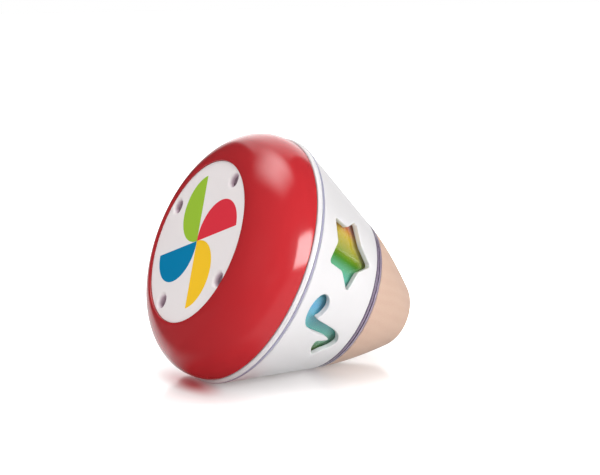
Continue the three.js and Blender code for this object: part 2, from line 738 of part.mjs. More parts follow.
function springHousingGeometry() {
  return turned([
    [arborBore + seatGap, housingHeight], [housingRadius, housingHeight], [housingRadius, seatGap],
    [housingRadius - housingWall, seatGap], [housingRadius - housingWall, housingHeight - housingWall],
    [arborBore + seatGap, housingHeight - housingWall],
  ], innerFacets);
}

// One flat spiral strip that starts beside the arbor and ends at the housing wall.
function mainspringGeometry() {
  const start = arborRadius + seatGap;
  const end = housingRadius - housingWall - seatGap - springStripThickness;
  const steps = springTurns * springStepsPerTurn;
  const inner = [];
  const outer = [];
  for (let i = 0; i <= steps; i += 1) {
    const radius = THREE.MathUtils.lerp(start, end, i / steps);
    const angle = 360 * i / springStepsPerTurn;
    inner.push(onCircle(radius, angle));
    outer.push(onCircle(radius + springStripThickness, angle));
  }
  const bottom = (housingHeight - housingWall - springStripHeight) / 2;
  return extruded(shapeOf([...inner, ...outer.reverse()]), 'z', bottom, bottom + springStripHeight);
}

function windingArborGeometry() {
  const low = drumFloorHeight + stemSocketDepth - seamGap;
  const high = bridgeUnderside + bridgeThickness / 2;
  const shaft = rod(arborRadius, bedFace - low, high, smallFacets);
  const flatTop = bedFace - drumFloorHeight;
  const flatSide = arborRadius - arborFlatDepth;
  const flat = block(
    [flatSide, arborRadius + cutOverrun], [-arborRadius, arborRadius], [bedFace - low - cutOverrun, flatTop]);
  return cut(shaft, flat);
}

function crownWheelGeometry() {
  const innerFace = crownPitchRadius - crownFaceWidth / 2;
  const outerFace = crownPitchRadius + crownFaceWidth / 2;
  const plate = ring(arborBore, outerFace, crownPlateBottom, crownRootRise, crownTeeth)
    .rotateZ(Math.PI / crownTeeth);
  const half = (Math.PI * gearModule / 2 - toothPlay) / 2;
  const lean = Math.tan(radians(pressureAngle));
  const rootHalf = half + (crownPitchRise - crownRootRise) * lean;
  const tipHalf = half - (crownTipRise - crownPitchRise) * lean;
  const rooting = crownPlateThickness / 2;
  const tooth = shapeOf([
    [-rootHalf, crownRootRise - rooting], [rootHalf, crownRootRise - rooting], [rootHalf, crownRootRise],
    [tipHalf, crownTipRise], [-tipHalf, crownTipRise], [-rootHalf, crownRootRise],
  ]);
  const teeth = evenly(crownTeeth, 180 / crownTeeth).map((angle) => (
    extruded(tooth, 'x', innerFace, outerFace - crownToothInset).rotateZ(radians(angle))));
  return join(plate, ...teeth);
}

function ratchetGeometry() {
  const bottom = crownRootRise + seatGap;
  const points = evenly(ratchetTeeth).flatMap((angle) => [
    onCircle(ratchetRadius, angle),
    onCircle(ratchetRootRadius, angle + 360 / ratchetTeeth - ratchetLeanAngle),
  ]);
  const shape = shapeOf(points);
  shape.holes.push(new THREE.Path().absarc(0, 0, arborBore, 0, 2 * Math.PI, true));
  return extruded(shape, 'z', bottom, bottom + ratchetThickness, curveSteps);
}

function pawlGeometry() {
  const bottom = crownRootRise + seatGap;
  const tip = ratchetRadius + seatGap;
  return extruded(roundedShape([
    [-pawlLength / 2, tip], [pawlLength / 2, tip + pawlWidth / 2], [pawlLength / 2, tip + 1.5 * pawlWidth],
    [-pawlLength / 2, tip + pawlWidth / 2],
  ], pawlWidth / 4), 'z', bottom, bottom + ratchetThickness);
}

function bridgeGeometry() {
  const top = bridgeUnderside + bridgeThickness;
  const inner = bridgeHalfSpan - bridgeThickness;
  const footEnd = bridgeHalfSpan + bridgeFootLength;
  const footTop = seatGap + bridgeThickness;
  const outline = shapeOf([
    [bridgeUnderside, -inner], [bridgeUnderside, inner], [seatGap, inner], [seatGap, footEnd],
    [footTop, footEnd], [footTop, bridgeHalfSpan], [top, bridgeHalfSpan], [top, -bridgeHalfSpan],
    [footTop, -bridgeHalfSpan], [footTop, -footEnd], [seatGap, -footEnd], [seatGap, -inner],
  ].map(([rise, side]) => [side, rise]));
  const strap = extruded(outline, 'x', -bridgeReachBack, bridgeReachFront);
  const lugBottom = bridgeUnderside - lugDrop;
  const lugTop = bridgeUnderside + bridgeThickness / 2;
  const lug = extruded(roundedShape([
    [-lugWidth / 2, lugTop], [lugWidth / 2, lugTop], [lugWidth / 2, lugBottom], [-lugWidth / 2, lugBottom],
  ], lugWidth / 6), 'x', bridgeReachFront - bridgeThickness, bridgeReachFront);
  const arborHole = rod(arborBore, bridgeUnderside - cutOverrun, top + cutOverrun, smallFacets);
  const shaftHole = lengthwise(rod(
    shaftBore, bridgeReachFront - bridgeThickness - cutOverrun, bridgeReachFront + cutOverrun, screwFacets))
    .translate(0, 0, cylinderAxisRise);
  const footHoles = bridgeScrewSpots.map((spot) => screwHole(spot, frameScrew, seatGap, footTop));
  return cut(join(strap, lug), arborHole, shaftHole, ...footHoles);
}

// The brass cylinder with its pins. Each track's pins stand at even steps, turned on from track to track.
function pinnedCylinderGeometry() {
  const endInner = cylinderStart + cylinderWall;
  const farInner = cylinderEnd - cylinderWall;
  const tube = turned([
    [shaftBore, cylinderStart], [cylinderRadius, cylinderStart], [cylinderRadius, cylinderEnd],
    [shaftBore, cylinderEnd], [shaftBore, farInner], [cylinderRadius - cylinderWall, farInner],
    [cylinderRadius - cylinderWall, endInner], [shaftBore, endInner],
  ], smallFacets);
  const pins = [];
  for (let track = 0; track < trackCount; track += 1) {
    const along = cylinderStart + (track + 0.5) * trackPitch;
    for (let pin = 0; pin < pinsPerTrack; pin += 1) {
      const turn = 360 * ((track * pinSpreadShare + pin / pinsPerTrack) % 1);
      const reach = cylinderRadius - cylinderWall / 2;
      const half = pinWidth / 2;
      pins.push(block([reach, cylinderRadius + pinRise], [-half, half], [along - half, along + half])
        .rotateZ(radians(turn)));
    }
  }
  return join(tube, ...pins);
}

// The worm is a one-lobed section, extruded and then twisted by one turn in each lead.
function wormGeometry() {
  const half = (wormLead / 2 - toothPlay) / 2;
  const lean = Math.tan(radians(pressureAngle));
  const tipRadius = wormPitchRadius + addendumShare * gearModule;
  const rootRadius = wormPitchRadius - dedendumShare * gearModule;
  const tipTurn = 360 * (half - addendumShare * gearModule * lean) / wormLead;
  const rootTurn = 360 * (half + dedendumShare * gearModule * lean) / wormLead;
  const section = [];
  for (let i = 0; i <= wormFlankPoints; i += 1) {
    const share = i / wormFlankPoints;
    const turn = THREE.MathUtils.lerp(tipTurn, rootTurn, share);
    section.push([turn, THREE.MathUtils.lerp(tipRadius, rootRadius, share)]);
  }
  const mirrored = section.map(([turn, radius]) => [360 - turn, radius]).reverse();
  for (let i = 1; i <= wormRootPoints; i += 1) {
    section.push([THREE.MathUtils.lerp(rootTurn, 360 - rootTurn, i / (wormRootPoints + 1)), rootRadius]);
  }
  const shape = shapeOf([...section, ...mirrored].map(([turn, radius]) => onCircle(radius, turn + 90)));
  const depth = wormThreadTurns * wormLead;
  const thread = new THREE.ExtrudeGeometry(
    shape, { depth, bevelEnabled: false, steps: wormThreadTurns * wormStepsPerTurn });
  const places = thread.attributes.position;
  const point = new THREE.Vector3();
  const axis = new THREE.Vector3(0, 0, 1);
  for (let i = 0; i < places.count; i += 1) {
    point.fromBufferAttribute(places, i);
    point.applyAxisAngle(axis, 2 * Math.PI * (point.z - depth / 2) / wormLead);
    places.setXYZ(i, point.x, point.y, point.z);
  }
  thread.translate(0, 0, cylinderAxisRise - depth / 2);
  const pivotLow = frameBaseThickness + 2 * seatGap;
  const pivotHigh = frameArmRise + framePlateThickness / 2;
  const core = rod(wormCoreRadius, pivotLow, frameArmRise - seatGap, screwFacets);
  const pivot = rod(wormCoreRadius / 2, pivotLow, pivotHigh, screwFacets);
  return join(core, pivot, thread);
}

function fanGeometry() {
  const bottom = frameBaseThickness + seatGap + fanFloorGap;
  const hub = rod(fanHubRadius, bottom, bottom + fanHeight, screwFacets);
  const blades = extruded(roundedShape([
    [-fanRadius, -fanThickness / 2], [fanRadius, -fanThickness / 2],
    [fanRadius, fanThickness / 2], [-fanRadius, fanThickness / 2],
  ], fanThickness / 4), 'z', bottom, bottom + fanHeight);
  const bore = rod(
    wormCoreRadius + seatGap, bottom - cutOverrun, bottom + fanHeight + cutOverrun, screwFacets);
  return cut(join(hub, blades), bore);
}

function governorFrameGeometry() {
  const plateTop = cylinderAxisRise + framePlateMargin - seatGap;
  const plateSides = [secondArborSide - framePlateMargin, framePlateMargin];
  const plate = block([governorStart, governorStart + framePlateThickness], plateSides, [seatGap, plateTop]);
  const outerPlate = block(
    [governorEnd - framePlateThickness, governorEnd],
    [secondArborSide - framePlateMargin, secondArborSide + framePlateMargin], [seatGap, plateTop]);
  const armEnd = wormPlace + frameArmWidth / 2;
  const armTop = frameArmRise + framePlateThickness;
  const plateInner = governorStart + framePlateThickness;
  const arm = extruded(shapeOf([
    [governorStart, seatGap], [plateInner, seatGap], [plateInner, frameArmRise], [armEnd, frameArmRise],
    [armEnd, armTop], [governorStart, armTop],
  ].map(([along, rise]) => [rise, along])), 'y', wormSide - frameArmWidth / 2, wormSide + frameArmWidth / 2);
  const base = extruded(roundedShape([
    [governorStart, plateSides[0]], [governorEnd, plateSides[0]],
    [governorEnd, frameBaseSideReach], [governorStart, frameBaseSideReach],
  ], bedCorner / 2), 'z', seatGap, seatGap + frameBaseThickness);
  const shaftHoles = [0, secondArborSide].map((side) => (
    lengthwise(rod(shaftBore, governorStart - cutOverrun, governorEnd + cutOverrun, screwFacets))
      .translate(0, side, cylinderAxisRise)));
  const pivotBore = wormCoreRadius / 2 + seatGap;
  const pivotHole = rod(pivotBore, frameArmRise - cutOverrun, armTop + cutOverrun, screwFacets)
    .translate(wormPlace, wormSide, 0);
  const baseHole = screwHole(governorScrewSpot, frameScrew, seatGap, seatGap + frameBaseThickness);
  return cut(join(plate, outerPlate, arm, base), ...shaftHoles, pivotHole, baseHole);
}

// Shell pieces
makePiece(toy, 'red_dome', domeGeometry(), glossyRed);
makePiece(toy, 'face_disc', faceDiscGeometry(), palePlastic);
makePiece(toy, 'chassis_plate', chassisGeometry(), whitePlastic);
makePiece(toy, 'clear_cone', clearConeGeometry(), clearPlastic);
makePiece(toy, 'white_sleeve', sleeveGeometry(), whitePlastic);
makePiece(toy, 'clear_collar', clearCollarGeometry(), clearPlastic);
wellPlaces.forEach(([x, y], i) => {
  addScrew(toy, `disc_screw_${i + 1}`, discScrew, [x, y, wellDepth - seatGap], true);
});
coneScrewPlaces.forEach(([x, y], i) => {
  addScrew(toy, `cone_screw_${i + 1}`, coneScrew, [x, y, flangeTop + seatGap], false);
});
collarScrewPlaces.forEach(([x, y], i) => {
  const stepTop = collarTop - collarScrew.rise - seatGap;
  addScrew(toy, `collar_screw_${i + 1}`, collarScrew, [x, y, stepTop + seatGap / 2], false);
});

// Turning top
makePiece(toy, 'wood_top', woodGeometry(), beech);
makePiece(toy, 'colour_drum', drumGeometry(), drumPlastic);
woodScrewPlaces.forEach(([x, y], i) => {
  addScrew(toy, `wood_screw_${i + 1}`, woodScrew, [x, y, drumTopHeight - drumTopThickness - seatGap], true);
});

// Musical movement
makePiece(movement, 'bedplate', bedplateGeometry(), zinc);
bedScrewSpots.forEach(([along, side], i) => {
  const head = bedFace - chassisTop - seatGap;
  addScrew(movement, `bed_screw_${i + 1}`, bedScrew, [along, side, head], true);
});
makePiece(movement, 'spring_housing', springHousingGeometry(), steel);
makePiece(movement, 'mainspring', mainspringGeometry(), springSteel);
makePiece(movement, 'winding_arbor', windingArborGeometry(), steel);
makePiece(movement, 'crown_wheel', crownWheelGeometry(), brass);
makePiece(movement, 'ratchet_wheel', ratchetGeometry(), steel);
makePiece(movement, 'ratchet_pawl', pawlGeometry(), steel);
makePiece(movement, 'housing_bridge', bridgeGeometry(), steel);
makePiece(movement, 'comb', combGeometry(), steel);
combScrewSpots.forEach(([along, side], i) => {
  const head = cylinderAxisRise + combThickness / 2 + seatGap;
  addScrew(movement, `comb_screw_${i + 1}`, combScrew, [along, side, head], false);
});
bridgeScrewSpots.forEach(([along, side], i) => {
  const head = bridgeThickness + 2 * seatGap;
  addScrew(movement, `bridge_screw_${i + 1}`, frameScrew, [along, side, head], false);
});
const governorScrewPlace = [...governorScrewSpot, frameBaseThickness + 2 * seatGap];
addScrew(movement, 'governor_screw', frameScrew, governorScrewPlace, false);
makePiece(movement, 'governor_frame', governorFrameGeometry(), steel);

// Pinned cylinder on its shaft, at the height where its pinion meets the crown wheel
const cylinder = new THREE.Group();
cylinder.position.z = cylinderAxisRise;
movement.add(cylinder);
makePiece(cylinder, 'pinned_cylinder', lengthwise(pinnedCylinderGeometry()), brass);
const shaftStart = bridgeReachFront - bridgeThickness;
const shaftEnd = governorStart + 2 * framePlateThickness;
makePiece(cylinder, 'cylinder_shaft', lengthwise(rod(shaftRadius, shaftStart, shaftEnd, screwFacets)), steel);
makePiece(cylinder, 'cylinder_pinion', boredGear(
  cylinderPinionTeeth, towardsBedplate,
  crownPitchRadius - cylinderPinionWidth / 2, crownPitchRadius + cylinderPinionWidth / 2), brass);
makePiece(cylinder, 'cylinder_wheel', boredGear(
  cylinderWheelTeeth, towardsSecondArbor, cylinderWheelStart, cylinderWheelStart + wheelWidth), brass);

// Second arbor
const second = new THREE.Group();
second.position.set(0, secondArborSide, cylinderAxisRise);
movement.add(second);
makePiece(second, 'second_arbor', lengthwise(rod(
  shaftRadius, cylinderWheelStart, governorEnd, screwFacets)), steel);
makePiece(second, 'second_pinion', boredGear(
  secondPinionTeeth, 180 / secondPinionTeeth, cylinderWheelStart, cylinderWheelStart + wheelWidth), brass);
makePiece(second, 'worm_wheel', boredGear(
  wormWheelTeeth, 0, wormPlace - wormWheelWidth / 2, wormPlace + wormWheelWidth / 2), brass);

// Worm with its air brake
const brake = new THREE.Group();
brake.position.set(wormPlace, wormSide, 0);
movement.add(brake);
makePiece(brake, 'worm_shaft', wormGeometry(), steel);
makePiece(brake, 'air_brake_fan', fanGeometry(), brass);

// The toy lies on a facet of its band, which makes its small end dip. Local +X of the toy points up and
// local +Y towards the viewer's side once it lies.
const facetShare = Math.cos(Math.PI / shellFacets);
const dip = Math.atan(bandSlope * facetShare);
toy.rotation.set(0, Math.PI / 2 + dip, Math.PI, 'YXZ');
const lying = new THREE.Group();
lying.add(toy);
lying.updateMatrixWorld(true);
const bounds = new THREE.Box3().setFromObject(lying, true);
const centre = bounds.getCenter(new THREE.Vector3());
toy.position.set(-centre.x, -centre.y, -bounds.min.z);
lying.updateMatrixWorld(true);

export default lying;
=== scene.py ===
"""The finished look of a rolling, twist-to-wind music box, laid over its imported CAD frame.

Sizes are millimetres in the toy's own frame: Z runs along the toy's axis from the face disc to the
wooden top, and while the toy lies, X points up and Y towards the camera's side. Angles round the axis
are degrees from X towards Y. Meshes are written in metres and placed by the frame.
"""
import json
import logging
import math
from collections.abc import Sequence
from dataclasses import dataclass, field
from enum import Enum

import bmesh
import bpy
from mathutils import Matrix, Vector
from mathutils.geometry import delaunay_2d_cdt


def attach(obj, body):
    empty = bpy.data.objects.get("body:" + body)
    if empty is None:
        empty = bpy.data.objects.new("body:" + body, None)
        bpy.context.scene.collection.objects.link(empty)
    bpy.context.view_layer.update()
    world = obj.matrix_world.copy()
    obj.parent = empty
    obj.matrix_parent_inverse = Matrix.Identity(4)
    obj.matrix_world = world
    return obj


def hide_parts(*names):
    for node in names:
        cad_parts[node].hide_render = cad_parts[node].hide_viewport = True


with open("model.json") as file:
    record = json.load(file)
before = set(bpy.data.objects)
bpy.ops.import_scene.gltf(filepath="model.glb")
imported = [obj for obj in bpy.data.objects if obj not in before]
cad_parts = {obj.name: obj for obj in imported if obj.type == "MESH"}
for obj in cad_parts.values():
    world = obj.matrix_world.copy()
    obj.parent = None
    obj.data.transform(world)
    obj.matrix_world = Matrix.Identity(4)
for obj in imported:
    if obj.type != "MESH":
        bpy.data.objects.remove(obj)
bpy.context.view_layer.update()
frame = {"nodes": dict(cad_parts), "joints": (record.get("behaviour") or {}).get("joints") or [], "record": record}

logging.basicConfig(level=logging.INFO, format="%(name)s: %(message)s")
LOG = logging.getLogger("music_box")

MM = 0.001
# The CAD's facets round the shell, and what a flat's middle has of its corners' radius
SHELL_FACETS = 36
FLAT_SHARE = math.cos(math.pi / SHELL_FACETS)
ROUND_SEGMENTS = 180
SMALL_SEGMENTS = 48
HOLE_SEGMENTS = 16
SHARP_ANGLE = math.radians(38)
NEAR_STRAIGHT = math.radians(86)
SIDE_SHARE = 0.49
WELD = 0.0005
# The height at which the turning top's joint stands
BED_FACE = 22.7
# How far round the unrolled cone a turn round the axis goes
UNROLLED_SHARE = 0.4
# The pointiness at which rubbing starts, less its reach, and at which it is full
EDGE_START = 0.56
EDGE_FULL = 0.62
CLEAR_INDEX = 1.49
WHITE = (1.0, 1.0, 1.0)

Triple = tuple[float, float, float]
Colour = Triple
Point = tuple[float, float]
Outline = list[Point]
Inputs = dict[str | int, object]
Node = bpy.types.Node
Socket = bpy.types.NodeSocket
Material = bpy.types.Material
Thing = bpy.types.Object
Shape = bmesh.types.BMesh


class Body(str, Enum):
    """The CAD bodies that pieces ride on."""

    SHELL = "shell"
    TOP = "turning_top"


class Slot(str, Enum):
    """The record's material slots, one of which is passed with each piece here."""

    RED = "red_plastic"
    PALE = "pale_plastic"
    WHITE = "white_plastic"
    CLEAR = "clear_plastic"
    DRUM = "drum_plastic"
    BEECH = "beech"
    SCREW = "screw_steel"


class MetalKind(Enum):
    """How a metal part was made, as the sizes of its marks in millimetres: across, along."""

    TURNED = (0.05, 6.0)
    ROLLED = (0.12, 3.0)
    CAST = (0.5, 0.5)


def srgb(*channels: int) -> Colour:
    """Turns a display colour, from 0 to 255 in each channel, into linear light."""
    values = (channel / 255 for channel in channels)
    return tuple(v / 12.92 if v <= 0.04045 else ((v + 0.055) / 1.055) ** 2.4 for v in values)


def toy_matrix() -> Matrix:
    """Works out the matrix from the toy's frame, in metres, to the row's, by the turning top's joint."""
    joint = next(j for j in frame["joints"] if j["name"] == "top_turn")
    axis = -Vector(joint["axis"]).normalized()
    near = Vector((0.0, -1.0, 0.0))
    up = near.cross(axis).normalized()
    origin = Vector(joint["pos_m"]) - axis * (BED_FACE * MM)
    return Matrix.Translation(origin) @ Matrix((up, near, axis)).transposed().to_4x4()


TOY = toy_matrix()


# Shader building


class Tree:
    """Adds and joins the nodes of one material, surround or node group."""

    def __init__(self, tree: bpy.types.NodeTree) -> None:
        """Keeps the tree that the nodes go into."""
        self.tree = tree

    def put(self, value: object, socket: Socket) -> None:
        """Sets an input to a number, place or colour, or links it when the value is a socket."""
        if isinstance(value, Socket):
            self.tree.links.new(value, socket)
        elif socket.type == "RGBA" and len(value) == 3:
            socket.default_value = (*value, 1.0)
        else:
            socket.default_value = value

    def fill(self, node: Node, inputs: Inputs) -> None:
        """Sets or links several named or numbered inputs of a node."""
        for key, value in inputs.items():
            self.put(value, node.inputs[key])

    def add(self, kind: str, inputs: Inputs | None = None, **settings: object) -> Node:
        """Adds a node.

        Args:
            kind: Blender's node type without its ShaderNode prefix.
            inputs: Plain values or sockets for named or numbered inputs.
            settings: Attributes to set on the node.

        Returns:
            The new node.
        """
        node = self.tree.nodes.new("ShaderNode" + kind)
        for name, value in settings.items():
            setattr(node, name, value)
        self.fill(node, inputs or {})
        return node

    def show(self, shader: Socket, output: str = "Material Output") -> None:
        """Makes a shader the one that the tree shows."""
        self.put(shader, self.tree.nodes[output].inputs["Surface"])

    def toy_place(self) -> Socket:
        """Adds the surface point's place in the toy's own frame, in metres, and returns its socket."""
        row = self.add("TexCoord").outputs["Object"]
        return self.placed(row, TOY.translation, Rotation=TOY.to_euler("XYZ"))

    def placed(self, vector: Socket, middle: Sequence[float], **others: object) -> Socket:
        """Measures a place from another middle, and in its turn and size where they are given."""
        inputs = {"Vector": vector, "Location": middle, **others}
        return self.add("Mapping", inputs, vector_type="TEXTURE").outputs[0]

    def scaled(self, vector: Socket, scale: Triple, **others: object) -> Socket:
        """Stretches a place along its axes, and turns or shifts it where asked."""
        return self.add("Mapping", {"Vector": vector, "Scale": scale, **others}).outputs[0]

    def parts(self, vector: Socket) -> bpy.types.bpy_prop_collection:
        """Takes a vector apart into its outputs X, Y and Z."""
        return self.add("SeparateXYZ", {0: vector}).outputs

    def maths(self, operation: str, *values: object) -> Socket:
        """Adds a Math node for an operation, with its inputs in order, and returns its result."""
        return self.add("Math", dict(enumerate(values)), operation=operation).outputs[0]

    def length(self, vector: Socket) -> Socket:
        """Measures a vector."""
        return self.add("VectorMath", {0: vector}, operation="LENGTH").outputs["Value"]

    def noise(self, vector: Socket, size: float | Socket, detail: float = 3.0, **others: float) -> Socket:
        """Adds noise, read at a place in metres, whose blots have a real size in millimetres."""
        scale = self.maths("DIVIDE", 1 / MM, size) if isinstance(size, Socket) else 1 / (size * MM)
        inputs = {"Vector": vector, "Scale": scale, "Detail": detail, **others}
        return self.add("TexNoise", inputs).outputs["Fac"]

    def remap(self, value: Socket, start: float | Socket, end: float, low: float = 0.0, high: float = 1.0,
              soft: bool = False) -> Socket:
        """Maps a value's range from start to end onto the one from low to high, eased where it is soft."""
        inputs = {"Value": value, "From Min": start, "From Max": end, "To Min": low, "To Max": high}
        kind = "SMOOTHSTEP" if soft else "LINEAR"
        return self.add("MapRange", inputs, interpolation_type=kind).outputs[0]

    def spread(self, value: Socket, low: float, high: float) -> Socket:
        """Maps a value from 0 to 1 onto a range."""
        return self.remap(value, 0.0, 1.0, low, high)

    def faded(self, vector: Socket, reach: Point) -> Socket:
        """Makes a share that rises softly from 0 to 1 between two distances from the middle."""
        return self.remap(self.length(vector), *reach, soft=True)

    def tint(self, share: object, low: object, high: object, **settings: object) -> Socket:
        """Blends from one colour to another by a share, each of them plain or a socket."""
        inputs = {"Factor": share, "A": low, "B": high}
        return self.add("Mix", inputs, data_type="RGBA", **settings).outputs["Result"]

    def lightened(self, colour: Socket, value: Socket) -> Socket:
        """Multiplies a colour's light."""
        return self.add("HueSaturation", {"Color": colour, "Value": value}).outputs[0]

    def ramp(self, value: Socket, stops: Sequence[tuple[float, Colour]], smooth: bool = True) -> Socket:
        """Adds a colour ramp.

        Args:
            value: Where to read the ramp.
            stops: Places from 0 to 1 with their colours.
            smooth: Whether the colours flow into each other in a curve.

        Returns:
            The colour.
        """
        node = self.add("ValToRGB", {"Fac": value})
        elements = node.color_ramp.elements
        node.color_ramp.interpolation = "EASE" if smooth else "LINEAR"
        while len(elements) < len(stops):
            elements.new(1.0)
        for element, (place, colour) in zip(elements, stops):
            element.position = place
            element.color = (*colour, 1.0)
        return node.outputs["Color"]

    def ray_is(self, *kinds: str) -> Socket:
        """Says whether a ray is of a kind, or of either of two kinds."""
        found = [self.add("LightPath").outputs[f"Is {kind} Ray"] for kind in kinds]
        return found[0] if len(found) == 1 else self.maths("MAXIMUM", *found)

    def emission(self, colour: object, strength: Socket) -> Socket:
        """Adds a glow."""
        return self.add("Emission", {"Color": colour, "Strength": strength}).outputs[0]

    def mixed(self, share: Socket, first: Socket, second: Socket) -> Socket:
        """Mixes two shaders by the share of the second."""
        return self.add("MixShader", {0: share, 1: first, 2: second}).outputs[0]


def new_group(name: str, inputs: dict[str, object], *outputs: str) -> tuple[Tree, Node, Node]:
    """Starts a shader node group, in which what is called Colour is a colour and the rest are numbers.

    Args:
        name: The group's name.
        inputs: Each input's name with its default.
        outputs: Each output's name.

    Returns:
        The group's tree helper, its input node and its output node.
    """
    group = bpy.data.node_groups.new(name, "ShaderNodeTree")
    for way, titles in (("INPUT", inputs), ("OUTPUT", outputs)):
        for title in titles:
            kind = "NodeSocketColor" if title == "Colour" else "NodeSocketFloat"
            socket = group.interface.new_socket(title, in_out=way, socket_type=kind)
            if way == "INPUT":
                socket.default_value = inputs[title]
    return Tree(group), group.nodes.new("NodeGroupInput"), group.nodes.new("NodeGroupOutput")


def make_skin_group() -> bpy.types.NodeTree:
    """Builds the group for handled skin: soft smudges in the gloss and a faint ripple in height."""
    tree, given, result = new_group("moulded_skin", {
        "Roughness": 0.3, "Smudge": 0.05, "Smudge Size": 14.0, "Ripple Size": 2.2, "Hairlines": 0.02,
    }, "Roughness", "Height")
    place = tree.toy_place()
    smudges = tree.noise(place, given.outputs["Smudge Size"], 4.0, Roughness=0.6)
    drawn_out = tree.scaled(place, (1.0, 1.0, 14.0), Rotation=(0.5, 0.3, 0.9))
    hairlines = tree.noise(drawn_out, 3.0, 2.0)
    shifts = [tree.maths("MULTIPLY", tree.spread(marks, -1.0, 1.0), given.outputs[amount])
              for marks, amount in ((smudges, "Smudge"), (hairlines, "Hairlines"))]
    total = tree.maths("ADD", given.outputs["Roughness"], tree.maths("ADD", *shifts))
    ripple = tree.noise(place, given.outputs["Ripple Size"], 1.0)
    tree.fill(result, {"Roughness": tree.maths("MAXIMUM", total, 0.02), "Height": ripple})
    return tree.tree


def make_drift_group() -> bpy.types.NodeTree:
    """Builds the group for the slow drift of colour in one moulded or turned surface."""
    defaults = {"Colour": (0.5, 0.5, 0.5, 1.0), "Drift": 0.04, "Blot Size": 20.0}
    tree, given, result = new_group("colour_drift", defaults, "Colour")
    blots = tree.noise(tree.toy_place(), given.outputs["Blot Size"])
    shift = tree.maths("MULTIPLY", tree.spread(blots, -1.0, 1.0), given.outputs["Drift"])
    light = tree.lightened(given.outputs["Colour"], tree.maths("ADD", 1.0, shift))
    tree.put(light, result.inputs["Colour"])
    return tree.tree


def make_edge_group() -> bpy.types.NodeTree:
    """Builds the group that finds rubbed edges, with a mask that is 1 on an edge."""
    tree, given, result = new_group("rubbed_edges", {"Reach": 0.06}, "Mask")
    start = tree.maths("SUBTRACT", EDGE_START, given.outputs["Reach"])
    mask = tree.remap(tree.add("NewGeometry").outputs["Pointiness"], start, EDGE_FULL)
    tree.put(mask, result.inputs["Mask"])
    return tree.tree


@dataclass(frozen=True)
class Skin:
    """How uneven a surface is in gloss and in fine relief, with sizes in millimetres."""

    roughness: float
    smudge: float
    ripple_size: float
    hairlines: float
    relief: float
    relief_depth: float
    smudge_size: float = 14.0


@dataclass(frozen=True)
class EffectGroups:
    """The shader node groups that several finishes share."""

    skin: bpy.types.NodeTree
    drift: bpy.types.NodeTree
    edges: bpy.types.NodeTree

    def drifted(self, tree: Tree, colour: object, drift: float, blot: float) -> Socket:
        """Lets a colour drift over a surface, by a share and with blots of a size in millimetres."""
        values = {"Colour": colour, "Drift": drift, "Blot Size": blot}
        return tree.add("Group", values, node_tree=self.drift).outputs["Colour"]

    def cover(self, tree: Tree, shader: Node, skin: Skin, height: Socket | None = None) -> None:
        """Gives a shader its uneven gloss and its fine relief.

        Args:
            tree: The material's tree.
            shader: Its Principled node.
            skin: How uneven the surface is.
            height: The relief, if it isn't the skin's own ripple.
        """
        node = tree.add("Group", {
            "Roughness": skin.roughness, "Smudge": skin.smudge, "Smudge Size": skin.smudge_size,
            "Ripple Size": skin.ripple_size, "Hairlines": skin.hairlines}, node_tree=self.skin)
        relief = node.outputs["Height"] if height is None else height
        bump = tree.add("Bump", {
            "Height": relief, "Strength": skin.relief, "Distance": skin.relief_depth * MM})
        tree.fill(shader, {"Roughness": node.outputs["Roughness"], "Normal": bump.outputs["Normal"]})


def start_material(name: str) -> tuple[Material, Tree, Node]:
    """Makes a material with its tree helper and its Principled shader."""
    material = bpy.data.materials.new(name)
    material.use_nodes = True
    return material, Tree(material.node_tree), material.node_tree.nodes["Principled BSDF"]


@dataclass(frozen=True)
class Finish:
    """A surface's look, which builds its own material."""

    name: str

    def build(self, groups: EffectGroups) -> Material:
        """Builds the material with the help of the shared effects."""
        material, tree, shader = start_material(self.name)
        self.fill(tree, shader, groups)
        return material

    def fill(self, tree: Tree, shader: Node, groups: EffectGroups) -> None:
        """Adds the finish's nodes.

        Args:
            tree: The material's tree.
            shader: Its Principled node.
            groups: The shared effects.
        """
        raise NotImplementedError


@dataclass(frozen=True)
class PaintedHollowShade:
    """Painted shade: a darker colour laid inside a surface's hollows where real shade falls, fading in between two
    heights in millimetres.
    """

    colour: Colour
    start: float
    full: float


@dataclass(frozen=True)
class PlasticFinish(Finish):
    """A moulded plastic or printed ink surface."""

    colour: Colour
    roughness: float
    smudge: float = 0.03
    ripple: float = 0.02
    ripple_size: float = 2.2
    ripple_depth: float = 0.3
    hairlines: float = 0.01
    drift: float = 0.02
    blot_size: float = 24.0
    shine: float = 0.5
    # painted shade inside hollows, darker further in along the axis
    deep: PaintedHollowShade | None = None

    def fill(self, tree: Tree, shader: Node, groups: EffectGroups) -> None:
        """Adds moulded skin over one colour, with painted shade darkening it inside hollows where asked."""
        colour = groups.drifted(tree, self.colour, self.drift, self.blot_size)
        # Painted shade: darkens the colour between the start and full heights along the toy's axis, inside hollows
        if self.deep is not None:
            height = tree.parts(tree.toy_place())["Z"]
            depth = tree.remap(height, self.deep.start * MM, self.deep.full * MM)
            colour = tree.tint(depth, colour, self.deep.colour)
        tree.fill(shader, {"Base Color": colour, "Specular IOR Level": self.shine})
        groups.cover(tree, shader, Skin(
            self.roughness, self.smudge, self.ripple_size, self.hairlines, self.ripple, self.ripple_depth))


